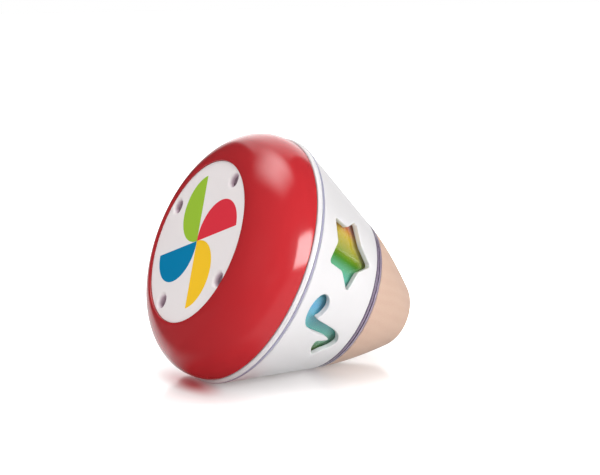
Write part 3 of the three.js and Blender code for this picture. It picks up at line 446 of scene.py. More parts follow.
@dataclass(frozen=True)
class ClearFinish(Finish):
    """Clear colourless plastic that lets lamps and soft light through to what it covers; a darker tint on a copy
    is painted shade.
    """

    tint: Colour
    clearness: float = 1.0
    roughness: float = 0.03
    shine: float = 0.3
    # Painted refraction and shade: dark and light colours in rings along the axis, at heights in millimetres
    rings: tuple[tuple[float, Colour], ...] = ()

    def fill(self, tree: Tree, shader: Node, groups: EffectGroups) -> None:
        """Adds the glass, whose colour may go in rings along the toy's axis as painted refraction and shade."""
        tree.fill(shader, {
            "Base Color": self.tint, "Transmission Weight": self.clearness, "IOR": CLEAR_INDEX,
            "Specular IOR Level": self.shine})
        # Painted refraction and shade laid into the colour along the axis
        if self.rings:
            low, high = self.rings[0][0], self.rings[-1][0]
            share = tree.remap(tree.parts(tree.toy_place())["Z"], low * MM, high * MM)
            stops = [((place - low) / (high - low), colour) for place, colour in self.rings]
            tree.put(tree.ramp(share, stops), shader.inputs["Base Color"])
        groups.cover(tree, shader, Skin(
            self.roughness, smudge=0.02, ripple_size=9.0, hairlines=0.01, relief=0.015, relief_depth=0.2))
        through = tree.add("BsdfTransparent", {"Color": self.tint}).outputs[0]
        tree.show(tree.mixed(tree.ray_is("Shadow", "Diffuse"), shader.outputs[0], through))


@dataclass(frozen=True)
class RainbowFinish(Finish):
    """Colours that run round the toy's axis and back again, several times in a turn."""

    repeats: int
    first_angle: float
    stops: tuple[tuple[float, Colour], ...]

    def fill(self, tree: Tree, shader: Node, groups: EffectGroups) -> None:
        """Adds the colours by the angle round the axis."""
        place = tree.parts(tree.toy_place())
        angle = tree.maths("ARCTAN2", place["Y"], place["X"])
        turns = tree.maths("SUBTRACT", angle, math.radians(self.first_angle))
        swing = tree.maths("PINGPONG", tree.maths("DIVIDE", turns, math.pi / self.repeats), 1.0)
        colour = groups.drifted(tree, tree.ramp(swing, self.stops, smooth=False), drift=0.05, blot=12.0)
        tree.fill(shader, {"Base Color": colour, "Specular IOR Level": 0.02})
        groups.cover(tree, shader, Skin(
            roughness=0.55, smudge=0.06, ripple_size=1.2, hairlines=0.03, relief=0.05, relief_depth=0.2))


@dataclass(frozen=True)
class WoodFinish(Finish):
    """Turned pale wood with its grain along the toy's axis, short dark flecks and a thin lacquer."""

    pale: Colour
    deep: Colour
    fleck: Colour
    fleck_size: float = 1.15
    fleck_share: float = 0.55

    def fill(self, tree: Tree, shader: Node, groups: EffectGroups) -> None:
        """Adds growth bands, fibres and flecks, each drawn out along the grain."""
        place = tree.toy_place()
        bands = tree.add("TexWave", {
            "Vector": tree.scaled(place, (1.0, 1.0, 0.12), Location=(0.02, 0.05, 0.0)),
            "Scale": 60.0, "Distortion": 3.2, "Detail": 2.0, "Detail Scale": 1.2,
        }, wave_type="BANDS", bands_direction="X").outputs["Fac"]
        fibres = tree.noise(tree.scaled(place, (1.0, 1.0, 0.05)), 0.5, 4.0)
        cells = tree.add("TexVoronoi", {
            "Vector": tree.scaled(place, (1.0, 1.0, 0.22)), "Scale": 1 / (self.fleck_size * MM)})
        flecks = tree.remap(cells.outputs["Distance"], 0.11, 0.03)
        base = tree.ramp(bands, ((0.0, self.pale), (1.0, self.deep)))
        toned = tree.lightened(base, tree.spread(fibres, 0.93, 1.06))
        flecked = tree.tint(tree.maths("MULTIPLY", flecks, self.fleck_share), toned, self.fleck)
        colour = groups.drifted(tree, flecked, drift=0.05, blot=26.0)
        tree.fill(shader, {"Base Color": colour, "Specular IOR Level": 0.35})
        groups.cover(tree, shader, Skin(
            roughness=0.5, smudge=0.07, ripple_size=1.6, hairlines=0.04, relief=0.12, relief_depth=0.08,
        ), height=tree.maths("SUBTRACT", fibres, flecks))


@dataclass(frozen=True)
class MetalFinish(Finish):
    """Steel, brass or cast zinc with the marks of how it was made."""

    colour: Colour
    roughness: float
    kind: MetalKind
    wear: float = 0.35

    def fill(self, tree: Tree, shader: Node, groups: EffectGroups) -> None:
        """Adds tool marks in the relief and brighter metal on rubbed edges."""
        across, along = self.kind.value
        stretch = along / across
        marks = tree.noise(tree.scaled(tree.toy_place(), (stretch, 1.0, stretch)), along)
        edges = tree.add("Group", {"Reach": 0.04}, node_tree=groups.edges).outputs["Mask"]
        bright = tuple(min(1.0, channel * 1.25 + 0.05) for channel in self.colour)
        worn = tree.tint(tree.maths("MULTIPLY", edges, self.wear), self.colour, bright)
        colour = groups.drifted(tree, worn, drift=0.08, blot=5.0)
        tree.fill(shader, {"Base Color": colour, "Metallic": 1.0})
        groups.cover(tree, shader, Skin(
            self.roughness, smudge=0.1, ripple_size=1.0, hairlines=0.08, relief=0.25, relief_depth=0.02,
            smudge_size=4.0), height=marks)


# Mesh building


def arc_corner(before: Point, corner: Point, after: Point, radius: float, steps: int) -> Outline:
    """Rounds one corner of an outline.

    Args:
        before: The point before the corner.
        corner: The corner.
        after: The point after the corner.
        radius: The radius of the rounding, cut back where the sides are short.
        steps: How many pieces the arc has.

    Returns:
        The points that take the corner's place.
    """
    place = Vector(corner)
    one, two = Vector(before) - place, Vector(after) - place
    if radius <= 0 or one.length < 1e-6 or two.length < 1e-6:
        return [corner]
    half = one.angle(two) / 2
    if half > NEAR_STRAIGHT:
        return [corner]
    reach = min(radius / math.tan(half), one.length * SIDE_SHARE, two.length * SIDE_SHARE)
    real = reach * math.tan(half)
    start, end = place + one.normalized() * reach, place + two.normalized() * reach
    middle = place + (one.normalized() + two.normalized()).normalized() * (real / math.sin(half))
    first, last = start - middle, end - middle
    turn = first.angle_signed(last)
    points = []
    for i in range(steps + 1):
        spoke = first.copy()
        spoke.rotate(Matrix.Rotation(-turn * i / steps, 2))
        points.append(tuple(middle + spoke))
    return points


def rounded(outline: Sequence[Point], radii: float | Sequence[float], steps: int = 4) -> Outline:
    """Rounds the corners of a closed outline.

    Args:
        outline: Its corners in order.
        radii: One radius for all corners, or one for each.
        steps: How many pieces each arc has.

    Returns:
        The rounded outline.
    """
    count = len(outline)
    each = [radii] * count if isinstance(radii, (int, float)) else list(radii)
    points: Outline = []
    for i, corner in enumerate(outline):
        points += arc_corner(outline[i - 1], corner, outline[(i + 1) % count], each[i], steps)
    return points


def bezier(start: Point, control: Point, end: Point, steps: int) -> Outline:
    """Points of a curve with one control point, without its first point."""
    points = []
    for i in range(1, steps + 1):
        t = i / steps
        parts = zip(start, control, end)
        points.append(tuple((1 - t) ** 2 * a + 2 * t * (1 - t) * b + t * t * c for a, b, c in parts))
    return points


def add_object(name: str, data: bpy.types.ID) -> Thing:
    """Puts an object into the scene."""
    thing = bpy.data.objects.new(name, data)
    bpy.context.scene.collection.objects.link(thing)
    return thing


def apply_modifiers(thing: Thing) -> None:
    """Replaces an object's mesh by what its modifiers make of it."""
    bpy.context.view_layer.update()
    graph = bpy.context.evaluated_depsgraph_get()
    done = thing.evaluated_get(graph)
    mesh = bpy.data.meshes.new_from_object(done, preserve_all_data_layers=True, depsgraph=graph)
    old = thing.data
    thing.modifiers.clear()
    thing.data = mesh
    bpy.data.meshes.remove(old)
    mesh.name = thing.name


def soften(thing: Thing, weighted: bool = True) -> None:
    """Shades an object smooth between its sharp edges, with large faces leading where asked."""
    thing.data.shade_smooth()
    thing.data.set_sharp_from_angle(angle=SHARP_ANGLE)
    if weighted:
        thing.modifiers.new("shading", "WEIGHTED_NORMAL").keep_sharp = True
        apply_modifiers(thing)


def mesh_object(name: str, shape: Shape, weighted: bool = True, place: Matrix | None = None) -> Thing:
    """Turns a shape in millimetres of the toy's frame into an object in metres of the row's frame.

    Args:
        name: The object's name.
        shape: The shape, which is freed.
        weighted: Whether large faces set the shading of their corners.
        place: Where the shape stands in the toy's frame, in millimetres, if not where it was drawn.

    Returns:
        The object.
    """
    bmesh.ops.remove_doubles(shape, verts=shape.verts, dist=WELD)
    bmesh.ops.dissolve_degenerate(shape, edges=shape.edges, dist=WELD)
    bmesh.ops.recalc_face_normals(shape, faces=shape.faces)
    into_row = TOY @ Matrix.Scale(MM, 4) @ (place or Matrix.Identity(4))
    bmesh.ops.transform(shape, matrix=into_row, verts=shape.verts)
    mesh = bpy.data.meshes.new(name)
    shape.to_mesh(mesh)
    shape.free()
    thing = add_object(name, mesh)
    soften(thing, weighted)
    return thing


def join_rings(shape: Shape, rings: Sequence[Sequence[bmesh.types.BMVert]]) -> None:
    """Fills the strips between closed rings that follow each other, except where both rings meet."""
    for one, two in zip(rings, rings[1:]):
        for i in range(len(one)):
            k = (i + 1) % len(one)
            if one[i].co != two[i].co or one[k].co != two[k].co:
                shape.faces.new((one[i], one[k], two[k], two[i]))


def lathe(section: Sequence[Point], segments: int = ROUND_SEGMENTS,
          centres: Sequence[Point] = ((0.0, 0.0),), shape: Shape | None = None) -> Shape:
    """Turns a closed section about one or more axes along Z.

    Args:
        section: Radius and height of each corner, in order round the section.
        segments: How many segments a turn has.
        centres: Where the axes stand.
        shape: The shape to add to, if there is one.

    Returns:
        The shape.
    """
    shape = bmesh.new() if shape is None else shape
    for x, y in centres:
        rings = []
        for i in range(segments):
            angle = 2 * math.pi * i / segments
            across, up = math.cos(angle), math.sin(angle)
            rings.append([shape.verts.new((x + radius * across, y + radius * up, height))
                          for radius, height in section])
        join_rings(shape, [*rings, rings[0]])
    return shape


def turned_object(name: str, section: Sequence[Point]) -> Thing:
    """Makes an object from one closed section turned about the toy's axis."""
    return mesh_object(name, lathe(section))


def cut_out(thing: Thing, cutter: Shape, place: Matrix | None = None) -> None:
    """Cuts a shape out of an object.

    Args:
        thing: The object to cut.
        cutter: The shape to take away, in millimetres, which is freed.
        place: Where the cutter stands in the toy's frame, in millimetres, if not where it was drawn.
    """
    tool = mesh_object(thing.name + "_cutter", cutter, weighted=False, place=place)
    modifier = thing.modifiers.new("cut", "BOOLEAN")
    modifier.operation, modifier.solver, modifier.object = "DIFFERENCE", "EXACT", tool
    apply_modifiers(thing)
    bpy.data.objects.remove(tool)
    soften(thing)


def dress(thing: Thing, material: Material, body: Body, slot: Slot, *nodes: str) -> None:
    """Gives a piece its material and its place in the model.

    Args:
        thing: The piece.
        material: Its material.
        body: The CAD body that it rides on.
        slot: The record's slot for its finish; not used.
        nodes: The CAD nodes that it stands for.
    """
    thing.data.materials.clear()
    thing.data.materials.append(material)
    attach(thing, body.value)
    if nodes:
        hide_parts(*nodes)
    LOG.info("%s: %d corners, rides on %s", thing.name, len(thing.data.vertices), body.value)


def on_circle(radius: float, angle: float) -> Point:
    """A point at an angle in degrees on a circle about the axis."""
    return radius * math.cos(math.radians(angle)), radius * math.sin(math.radians(angle))


def evenly(count: int, first: float = 0.0) -> list[float]:
    """Angles of a number of places spread evenly round a turn."""
    return [first + 360 * i / count for i in range(count)]


# Pieces


@dataclass(frozen=True)
class BandCone:
    """The cone that the toy lies on, as flat facets leave it, and the shells under it."""

    rim_radius: float = 60.0
    rim_height: float = 27.3
    band_height: float = 46.9
    end_radius: float = 39.4
    seam: float = 0.3

    @property
    def slope(self) -> float:
        """How far the radius shrinks for each step along the axis."""
        return (self.rim_radius - self.end_radius) / self.band_height

    @property
    def turn(self) -> float:
        """The angle between the cone's side and its axis."""
        return math.atan(self.slope * FLAT_SHARE)

    @property
    def top(self) -> float:
        """The height at which the band ends."""
        return self.rim_height + self.band_height

    @property
    def apex(self) -> float:
        """The height at which the cone would close."""
        return self.rim_height + self.rim_radius / self.slope

    def radius(self, height: float, depth: float = 0.0) -> float:
        """The radius at a height, of a surface that lies a depth under the cone, square to its side."""
        outside = self.rim_radius - (height - self.rim_height) * self.slope
        return outside * FLAT_SHARE - depth / math.cos(self.turn)

    def at(self, height: float, depth: float = 0.0) -> Point:
        """The radius at a height together with the height, as a corner of a turned section."""
        return self.radius(height, depth), height

    def reach(self, height: float) -> float:
        """The distance along the side from the apex to a height."""
        return (self.apex - height) / math.cos(self.turn)

    def point(self, reach: float, around: float, depth: float = 0.0) -> Vector:
        """A point given on the unrolled cone.

        Args:
            reach: The distance from the apex along the side.
            around: The angle round the axis in radians.
            depth: How far the point lies under the cone.

        Returns:
            The point in the toy's frame.
        """
        height = self.apex - reach * math.cos(self.turn)
        radius = self.radius(height, depth)
        return Vector((radius * math.cos(around), radius * math.sin(around), height))


@dataclass
class DomedBase:
    """The glossy dome, the face disc with its wells and printed windmill, and the chassis plate."""

    band: BandCone
    wall: float = 2.2
    rim_step: float = 1.0
    end_height: float = 24.65
    mouth_radius: float = 39.2
    mouth_lean: float = 0.2
    mouth_round: float = 0.45
    end_round: float = 0.25
    bulge: float = 0.9
    land: float = 1.1
    shoulder: Point = (59.0, 21.0)
    radial_power: float = 1.34
    axial_power: float = 2.09
    curve_steps: int = 44
    disc_seam: float = 0.1
    disc_thickness: float = 2.6
    disc_round: float = 0.15
    cup_gap: float = 0.05
    ledge_width: float = 0.9
    ledge_thickness: float = 1.1
    well_inset: float = 5.2
    well_angle: float = 21.4
    well_mouth: float = 4.7
    well_floor: float = 2.7
    well_bend: Point = (0.6, 0.25)
    well_dish: float = 2.2
    well_depth: float = 4.6
    well_wall: float = 1.3
    well_base: float = 1.4
    chassis_bottom: float = 24.95
    chassis_top: float = 27.0
    chassis_step: float = 0.7
    hub_hole: float = 4.0
    spigot_wall: float = 2.0
    spigot_depth: float = 2.0
    post_radius: float = 3.3
    screw_shank: float = 1.2
    post_bore: float = 1.25
    vane_length: float = 32.8
    vane_angle: float = -22.6
    vane_steps: int = 40
    ink_thickness: float = 0.05
    overlap: float = 0.02

    def well_places(self) -> Outline:
        """Where the four wells stand."""
        radius = self.mouth_radius - self.well_inset
        return [on_circle(radius, angle) for angle in evenly(4, self.well_angle)]

    def dome_curve(self, mouth: Point, end: Point) -> Outline:
        """Points of the dome's round section, from its narrow mouth to its wide end.

        Args:
            mouth: Radius and height of its narrow end.
            end: Radius and height of its wide end.

        Returns:
            The points.
        """
        points = []
        for i in range(self.curve_steps + 1):
            turn = math.pi / 2 * (1 - i / self.curve_steps)
            out = 0.0 if i == 0 else math.cos(turn) ** (2 / self.radial_power)
            up = math.sin(turn) ** (2 / self.axial_power)
            points.append((mouth[0] + (end[0] - mouth[0]) * out, end[1] - (end[1] - mouth[1]) * up))
        return points

    def build_dome(self, material: Material) -> None:
        """Builds the dome with its rolled mouth, its ledge and its even wall."""
        mouth = self.mouth_radius * FLAT_SHARE
        end = (self.band.rim_radius - self.rim_step) * FLAT_SHARE
        widest, height = self.shoulder
        outside = self.dome_curve((mouth + self.land, -self.bulge), (widest, height))
        outside += bezier(outside[-1], (widest, (height + self.end_height) / 2), (end, self.end_height), 6)
        mouth_inside = (mouth + self.wall * self.mouth_lean, self.wall - self.bulge)
        inside = self.dome_curve(mouth_inside, (widest - self.wall, height))
        inside.append((end - self.wall, self.end_height))
        ledge_bottom = self.disc_thickness + self.band.seam
        ledge_top = ledge_bottom + self.ledge_thickness
        under = [point for point in inside if point[1] > ledge_top + 0.2][::-1]
        rim = [(mouth, ledge_bottom), (mouth, -self.bulge), outside[0]]
        lip = rounded(rim, [0, self.mouth_round, 0], 5)
        corner = rounded([outside[-2], outside[-1], under[0]], [0, self.end_round, 0], 3)
        ledge = [(under[-1][0] - self.wall, ledge_top), (mouth - self.ledge_width, ledge_top),
                 (mouth - self.ledge_width, ledge_bottom)]
        skin = turned_object("dome_skin", lip[:-1] + outside[:-2] + corner + under[1:] + ledge)
        dress(skin, material, Body.SHELL, Slot.RED, "red_dome")

    def build_disc(self, material: Material) -> None:
        """Builds the face disc with four dished screw wells."""
        radius, thick = (self.mouth_radius - self.disc_seam) * FLAT_SHARE, self.disc_thickness
        mouth, floor, depth, start = self.well_mouth, self.well_floor, self.well_depth, -self.overlap
        bend = (floor + self.well_bend[0], self.well_bend[1])
        lip = bezier((mouth, start), bend, (floor, self.well_dish), 12)
        hollow = [(0, -1), (mouth, -1), (mouth, start), *lip, (floor, depth), (0, depth)]
        outer, inner, bore = floor + self.well_wall, floor + self.cup_gap, self.screw_shank
        top, base = thick - self.cup_gap, depth + self.well_base
        edge = self.disc_round
        cup = rounded([
            (outer, top), (outer, base), (bore, base), (bore, depth), (inner, depth), (inner, top)], edge, 2)
        disc = turned_object("face_disc_skin", rounded(
            [(0, 0), (radius, 0), (radius, thick), (0, thick)], [0, edge, edge, 0], 4))
        cut_out(disc, lathe(hollow, SMALL_SEGMENTS, self.well_places()))
        dress(disc, material, Body.SHELL, Slot.PALE, "face_disc")
        cups = mesh_object("face_disc_cups", lathe(cup, SMALL_SEGMENTS, self.well_places()))
        dress(cups, material, Body.SHELL, Slot.PALE)

    def build_windmill(self, inks: Sequence[Material]) -> None:
        """Lays four printed half discs on the face as the vanes of a windmill, a quarter turn apart.

        Args:
            inks: The ink of each vane in order round the disc.
        """
        middle = self.vane_length / 2
        arc = [math.pi * i / self.vane_steps for i in range(self.vane_steps + 1)]
        outline = [Vector((middle + middle * math.cos(turn), -middle * math.sin(turn))) for turn in arc]
        for number, (ink, angle) in enumerate(zip(inks, evenly(4, self.vane_angle))):
            turn = Matrix.Rotation(math.radians(angle), 2)
            shape = bmesh.new()
            rings = [[shape.verts.new((*(turn @ corner), height)) for corner in outline]
                     for height in (self.overlap, -self.ink_thickness)]
            caps = [shape.faces.new(ring) for ring in rings]
            join_rings(shape, rings)
            bmesh.ops.triangulate(shape, faces=caps)
            dress(mesh_object(f"printed_vane_{number + 1}", shape), ink, Body.SHELL, Slot.PALE)

    def build_chassis(self, material: Material) -> None:
        """Builds the chassis plate, whose rounded white edge shows under the dome, with its four posts."""
        rim = self.band.rim_radius * FLAT_SHARE
        edge = (self.band.rim_radius - self.chassis_step) * FLAT_SHARE
        low, high = self.chassis_bottom, self.chassis_top
        outer = (self.band.rim_radius - self.rim_step) * FLAT_SHARE - self.wall - 2 * self.band.seam
        inner, foot = outer - self.spigot_wall, low - self.spigot_depth
        shape = lathe(rounded([
            (self.hub_hole, high), (self.hub_hole, low), (inner, low), (inner, foot), (outer, foot),
            (outer, low), (edge, low), (rim, (low + high) / 2), (rim, high),
        ], [0.1, 0.1, 0.2, 0.3, 0.3, 0.2, 0.4, 1.2, 0.3], 4))
        bottom, joint = self.well_depth + self.well_base + self.band.seam, low + 0.2
        post = rounded([(self.post_bore, bottom), (self.post_radius, bottom), (self.post_radius, joint),
                        (self.post_bore, joint)], [0.2, 0.3, 0, 0], 3)
        lathe(post, SMALL_SEGMENTS, self.well_places(), shape)
        dress(mesh_object("chassis_skin", shape), material, Body.SHELL, Slot.WHITE, "chassis_plate")


@dataclass(frozen=True)
class Window:
    """A window's outline on the unrolled band, with the height and the angle in degrees of its middle."""

    outline: Outline
    height: float
    angle: float


Rings = list[list[tuple[Point, bmesh.types.BMVert]]]


@dataclass
class WindowBand:
    """The white sleeve with its windows, and the clear cone and clear collar that show beside it."""

    band: BandCone
    sleeve_wall: float = 2.3
    flange_thickness: float = 1.2
    flange_width: float = 10.5
    cone_wall: float = 1.5
    end_thickness: float = 1.8
    cone_bore: float = 30.0
    edge_round: float = 0.55
    edge_steps: int = 4
    star_tips: int = 5
    star_place: Point = (51.5, 66.0)
    star_reach: Point = (18.6, 11.3)
    star_rounds: Point = (1.5, 3.0)
    note_place: Point = (51.3, 110.0)
    note_size: float = 33.0
    note_steps: int = 4
    note_shares: tuple[Point, ...] = (
        (-0.5, -0.3), (-0.45, -0.17), (-0.33, -0.12), (-0.21, -0.18), (-0.15, -0.25), (-0.11, -0.16),
        (-0.05, 0.07), (0.01, 0.27), (0.09, 0.42), (0.2, 0.5), (0.31, 0.44), (0.39, 0.32),
        (0.49, 0.24), (0.43, 0.14), (0.34, 0.06), (0.23, 0.04), (0.21, 0.16), (0.18, 0.27),
        (0.13, 0.17), (0.09, -0.02), (0.05, -0.22), (-0.02, -0.4), (-0.14, -0.49), (-0.29, -0.5),
        (-0.43, -0.43))
    collar_height: float = 4.15
    collar_groove_rise: float = 1.5
    collar_groove: float = 0.9
    collar_step: float = 1.15
    collar_step_width: float = 1.75
    column_step: float = 3.0
    row_step: float = 2.4
    clear_share: float = 0.55
    wall_tries: int = 12
    sectors: int = 3
    sector_start: float = math.radians(41.7)

    @property
    def ends(self) -> Point:
        """The sleeve's narrow and its wide end on the unrolled cone."""
        bottom = self.band.rim_height + self.flange_thickness + self.band.seam
        return self.band.reach(self.band.top), self.band.reach(bottom)

    def star(self) -> Window:
        """The star window, with its tips drawn round."""
        angles = evenly(2 * self.star_tips, 90)
        corners = [on_circle(self.star_reach[i % 2], angle) for i, angle in enumerate(angles)]
        return Window(rounded(corners, self.star_rounds * self.star_tips, 6), *self.star_place)

    def note(self) -> Window:
        """The note window, as one smooth closed curve through its shares."""
        points = [Vector(share) * self.note_size for share in self.note_shares]
        smooth: Outline = []
        for i in range(len(points)):
            a, b, c, d = (points[(i + k) % len(points)] for k in (-1, 0, 1, 2))
            for t in (step / self.note_steps for step in range(self.note_steps)):
                smooth.append(tuple(0.5 * (
                    2 * b + (c - a) * t + (2 * a - 5 * b + 4 * c - d) * t * t
                    + (3 * b - a - 3 * c + d) * t ** 3)))
        return Window(smooth, *self.note_place)

    def rounding(self) -> Outline:
        """How far each step of the rounded edge lies beside the wall and under the outer skin."""
        edge = self.edge_round
        turns = [math.pi / 2 * step / self.edge_steps for step in range(self.edge_steps + 1)]
        return [(edge * (1 - math.sin(turn)), edge * (1 - math.cos(turn))) for turn in turns]

    def build_sleeve(self, material: Material) -> None:
        """Builds the sleeve as two skins of the cone, joined round its ends and through its windows."""
        shape = bmesh.new()
        windows = (self.star(), self.note())
        for number in range(self.sectors):
            turn = number * (2 * math.pi / self.sectors)
            rims = [self.window_rings(shape, window, turn) for window in windows]
            self.skin(shape, rims, 0, self.sector_start + turn, self.edge_round)
            self.skin(shape, rims, -1, self.sector_start + turn, 0.0)
        narrow, wide = self.ends
        self.close_end(shape, wide, -1)
        self.close_end(shape, narrow, 1)
        sleeve = mesh_object("sleeve_skin", shape, weighted=False)
        dress(sleeve, material, Body.SHELL, Slot.WHITE, "white_sleeve")

    def unrolled(self, outline: Outline, window: Window) -> Outline:
        """Places an outline, drawn square on at a window's middle, on the unrolled cone.

        Args:
            outline: Points across and up.
            window: The window whose middle it has.

        Returns:
            For each point its distance from the apex and its angle round the axis in radians.
        """
        slant = self.band.reach(window.height)
        places = []
        for across, up in outline:
            around = math.atan2(across, slant - up) / math.sin(self.band.turn)
            places.append((math.hypot(across, slant - up), math.radians(window.angle) + around))
        return places

    def window_rings(self, shape: Shape, window: Window, turn: float) -> Rings:
        """Builds the rounded edge and the straight wall of one window.

        Args:
            shape: The shape to add to.
            window: The window.
            turn: What to add to its angle, in radians.

        Returns:
            The rings from the outer skin to the inner one, each corner with its place on the cone.
        """
        outline = window.outline
        side = 1 if signed_area(outline) > 0 else -1
        middle = math.radians(window.angle) + turn
        flat = math.cos(self.band.turn)
        pull = Vector((math.cos(middle) * flat, math.sin(middle) * flat, math.sin(self.band.turn)))
        rings = []
        for out, down in self.rounding():
            moved = []
            for i, point in enumerate(outline):
                along = (Vector(outline[(i + 2) % len(outline)]) - Vector(outline[i - 2])).normalized()
                moved.append((point[0] + side * along.y * out, point[1] - side * along.x * out))
            places = [(reach, around + turn) for reach, around in self.unrolled(moved, window)]
            rings.append([(place, shape.verts.new(self.band.point(*place, down))) for place in places])
        inner = []
        for (_, around), vert in rings[-1]:
            point = self.through_wall(vert.co, pull)
            place = (self.band.reach(point.z), nearest_turn(math.atan2(point.y, point.x), around))
            inner.append((place, shape.verts.new(point)))
        rings.append(inner)
        join_rings(shape, [[vert for _, vert in ring] for ring in rings])
        return rings

    def through_wall(self, start: Vector, pull: Vector) -> Vector:
        """Follows a window's wall inwards, against the pull of the mould, to the sleeve's inner skin."""
        travel = self.sleeve_wall
        for _ in range(self.wall_tries):
            point = start - pull * travel
            left = math.hypot(point.x, point.y) - self.band.radius(point.z, self.sleeve_wall)
            travel += left * math.cos(self.band.turn)
        return start - pull * travel

    def skin(self, shape: Shape, rims: Sequence[Rings], ring: int, first: float, inset: float) -> None:
        """Fills one skin of a sector of the sleeve round its windows.

        Args:
            shape: The shape to add to.
            rims: The rings of each window.
            ring: Which ring of each window lies on this skin, 0 for the outer skin.
            first: The angle at which the sector starts.
            inset: How far the skin stops short of both ends.
        """
        depth = 0.0 if ring == 0 else self.sleeve_wall
        flat_turn, sector = math.sin(self.band.turn), 2 * math.pi / self.sectors
        columns = round(math.degrees(sector) / self.column_step)
        rows = round((self.ends[1] - self.ends[0]) / self.row_step)
        near, far = self.ends[0] + inset, self.ends[1] - inset
        clear = self.row_step * self.clear_share
        outlines = [[place for place, _ in window[ring]] for window in rims]
        places, verts, edges = [], [], []
        for window in rims:
            start = len(places)
            places += [place for place, _ in window[ring]]
            verts += [vert for _, vert in window[ring]]
            edges += [(i, i + 1) for i in range(start, len(places) - 1)] + [(len(places) - 1, start)]
        number, sides = {}, {}
        for column in range(columns + 1):
            for row in range(rows + 1):
                place = (near + (far - near) * row / rows, first + sector * column / columns)
                if row in (0, rows) or column in (0, columns):
                    number[row, column] = len(places)
                    on_end, on_side = row == 0, column in (0, columns)
                    sides[len(places)] = ({"end"} if on_end else set()) | ({column} if on_side else set())
                elif any(near_outline(place, outline, clear) for outline in outlines):
                    continue
                places.append(place)
                verts.append(None)
        edges += [(number[row, i], number[row, i + 1]) for i in range(columns) for row in (0, rows)]
        edges += [(number[i, column], number[i + 1, column]) for i in range(rows) for column in (0, columns)]
        flat = [Vector((reach * math.cos(around * flat_turn), reach * math.sin(around * flat_turn)))
                for reach, around in places]
        corners, _, faces, originals, _, _ = delaunay_2d_cdt(flat, edges, [], 0, 1e-6)
        made, spots = [], []
        for corner, source in zip(corners, originals):
            spot, vert = (corner.length, math.atan2(corner.y, corner.x) / flat_turn), None
            if source:
                spot, vert = places[source[0]], verts[source[0]]
            spots.append(spot)
            made.append(vert or shape.verts.new(self.band.point(*spot, depth)))
        for face in faces:
            middle = [sum(spots[i][axis] for i in face) / 3 for axis in (0, 1)]
            shared = [sides.get(originals[i][0], set()) if originals[i] else set() for i in face]
            outside = shared[0] & shared[1] & shared[2]
            if not outside and not any(inside_outline(middle, outline) for outline in outlines):
                shape.faces.new([made[i] for i in face])

    def close_end(self, shape: Shape, reach: float, towards: int) -> None:
        """Joins the two skins at one end with a rounded edge.

        Args:
            shape: The shape to add to.
            reach: The end's place on the unrolled cone.
            towards: 1 where the band lies beyond it and -1 where it lies before it.
        """
        columns = round(360 / self.column_step)
        section = [(reach + towards * out, down) for out, down in self.rounding()]
        section.append((reach, self.sleeve_wall))
        angles = [self.sector_start + 2 * math.pi * column / columns for column in range(columns)]
        join_rings(shape, [[shape.verts.new(self.band.point(place, angle, depth)) for angle in angles]
                           for place, depth in section])

    def build_cone(self, window: Material, edge: Material) -> None:
        """Builds the clear cone under the sleeve and the flange round its foot.

        Args:
            window: The plastic that shows in the windows.
            edge: The same plastic seen edge on, in the flange beside the white rim, with painted shade in its
                darker grey-violet tint.
        """
        band, bore, top = self.band, self.cone_bore, self.band.top
        low, high = band.rim_height, band.rim_height + self.flange_thickness
        under = self.sleeve_wall + band.seam
        inner = under + self.cone_wall
        end_bottom = top - self.end_thickness
        foot = (band.rim_radius - self.flange_width) * FLAT_SHARE
        flange = rounded([(foot, low), band.at(low), band.at(high), (foot, high)], [0.2, 0.25, 0.25, 0.2], 3)
        cone = rounded([
            band.at(high, inner), band.at(high, under), band.at(top, under), (bore, top), (bore, end_bottom),
            band.at(end_bottom, inner)], [0, 0, 0.5, 0.3, 0.3, 0.6], 3)
        dress(turned_object("clear_flange_skin", flange), edge, Body.SHELL, Slot.CLEAR, "clear_cone")
        dress(turned_object("clear_cone_skin", cone), window, Body.SHELL, Slot.CLEAR, "clear_cone")

    def build_collar(self, material: Material) -> None:
        """Builds the clear collar with its turned groove."""
        band, bore = self.band, self.cone_bore
        low, high = band.top + band.seam, band.top + self.collar_height
        groove_low = low + self.collar_groove_rise
        groove_high = groove_low + self.collar_groove
        groove_middle = (groove_low + groove_high) / 2
        step_top = high - self.collar_step
        outer = band.radius(band.top, self.sleeve_wall + band.seam)
        step_radius = (bore + outer) / 2 + self.collar_step_width
        section = rounded([
            (bore, low), band.at(low), band.at(groove_low),
            (band.radius(groove_middle) - self.collar_groove, groove_middle), band.at(groove_high),
            band.at(high), (step_radius, high), (step_radius, step_top), (bore, step_top),
        ], [0.2, 0.35, 0.15, 0.2, 0.15, 0.35, 0.2, 0.2, 0.2], 3)
        dress(turned_object("clear_collar_skin", section), material, Body.SHELL, Slot.CLEAR, "clear_collar")


def signed_area(outline: Outline) -> float:
    """The area inside an outline, above 0 where it runs against the clock."""
    return sum(a[0] * b[1] - b[0] * a[1] for a, b in zip(outline, outline[1:] + outline[:1])) / 2


def nearest_turn(angle: float, near: float) -> float:
    """Adds whole turns to an angle until it lies beside another."""
    return angle + 2 * math.pi * round((near - angle) / (2 * math.pi))


def inside_outline(place: Sequence[float], outline: Outline) -> bool:
    """Says whether a place lies inside an outline."""
    inside = False
    for (x0, y0), (x1, y1) in zip(outline, outline[1:] + outline[:1]):
        if (y0 > place[1]) != (y1 > place[1]) and place[0] < (x1 - x0) * (place[1] - y0) / (y1 - y0) + x0:
            inside = not inside
    return inside


def near_outline(place: Point, outline: Outline, distance: float) -> bool:
    """Says whether a place on the unrolled cone lies inside an outline or beside it."""
    across = place[0] * UNROLLED_SHARE
    return inside_outline(place, outline) or any(
        math.hypot(place[0] - reach, (place[1] - around) * across) < distance for reach, around in outline)


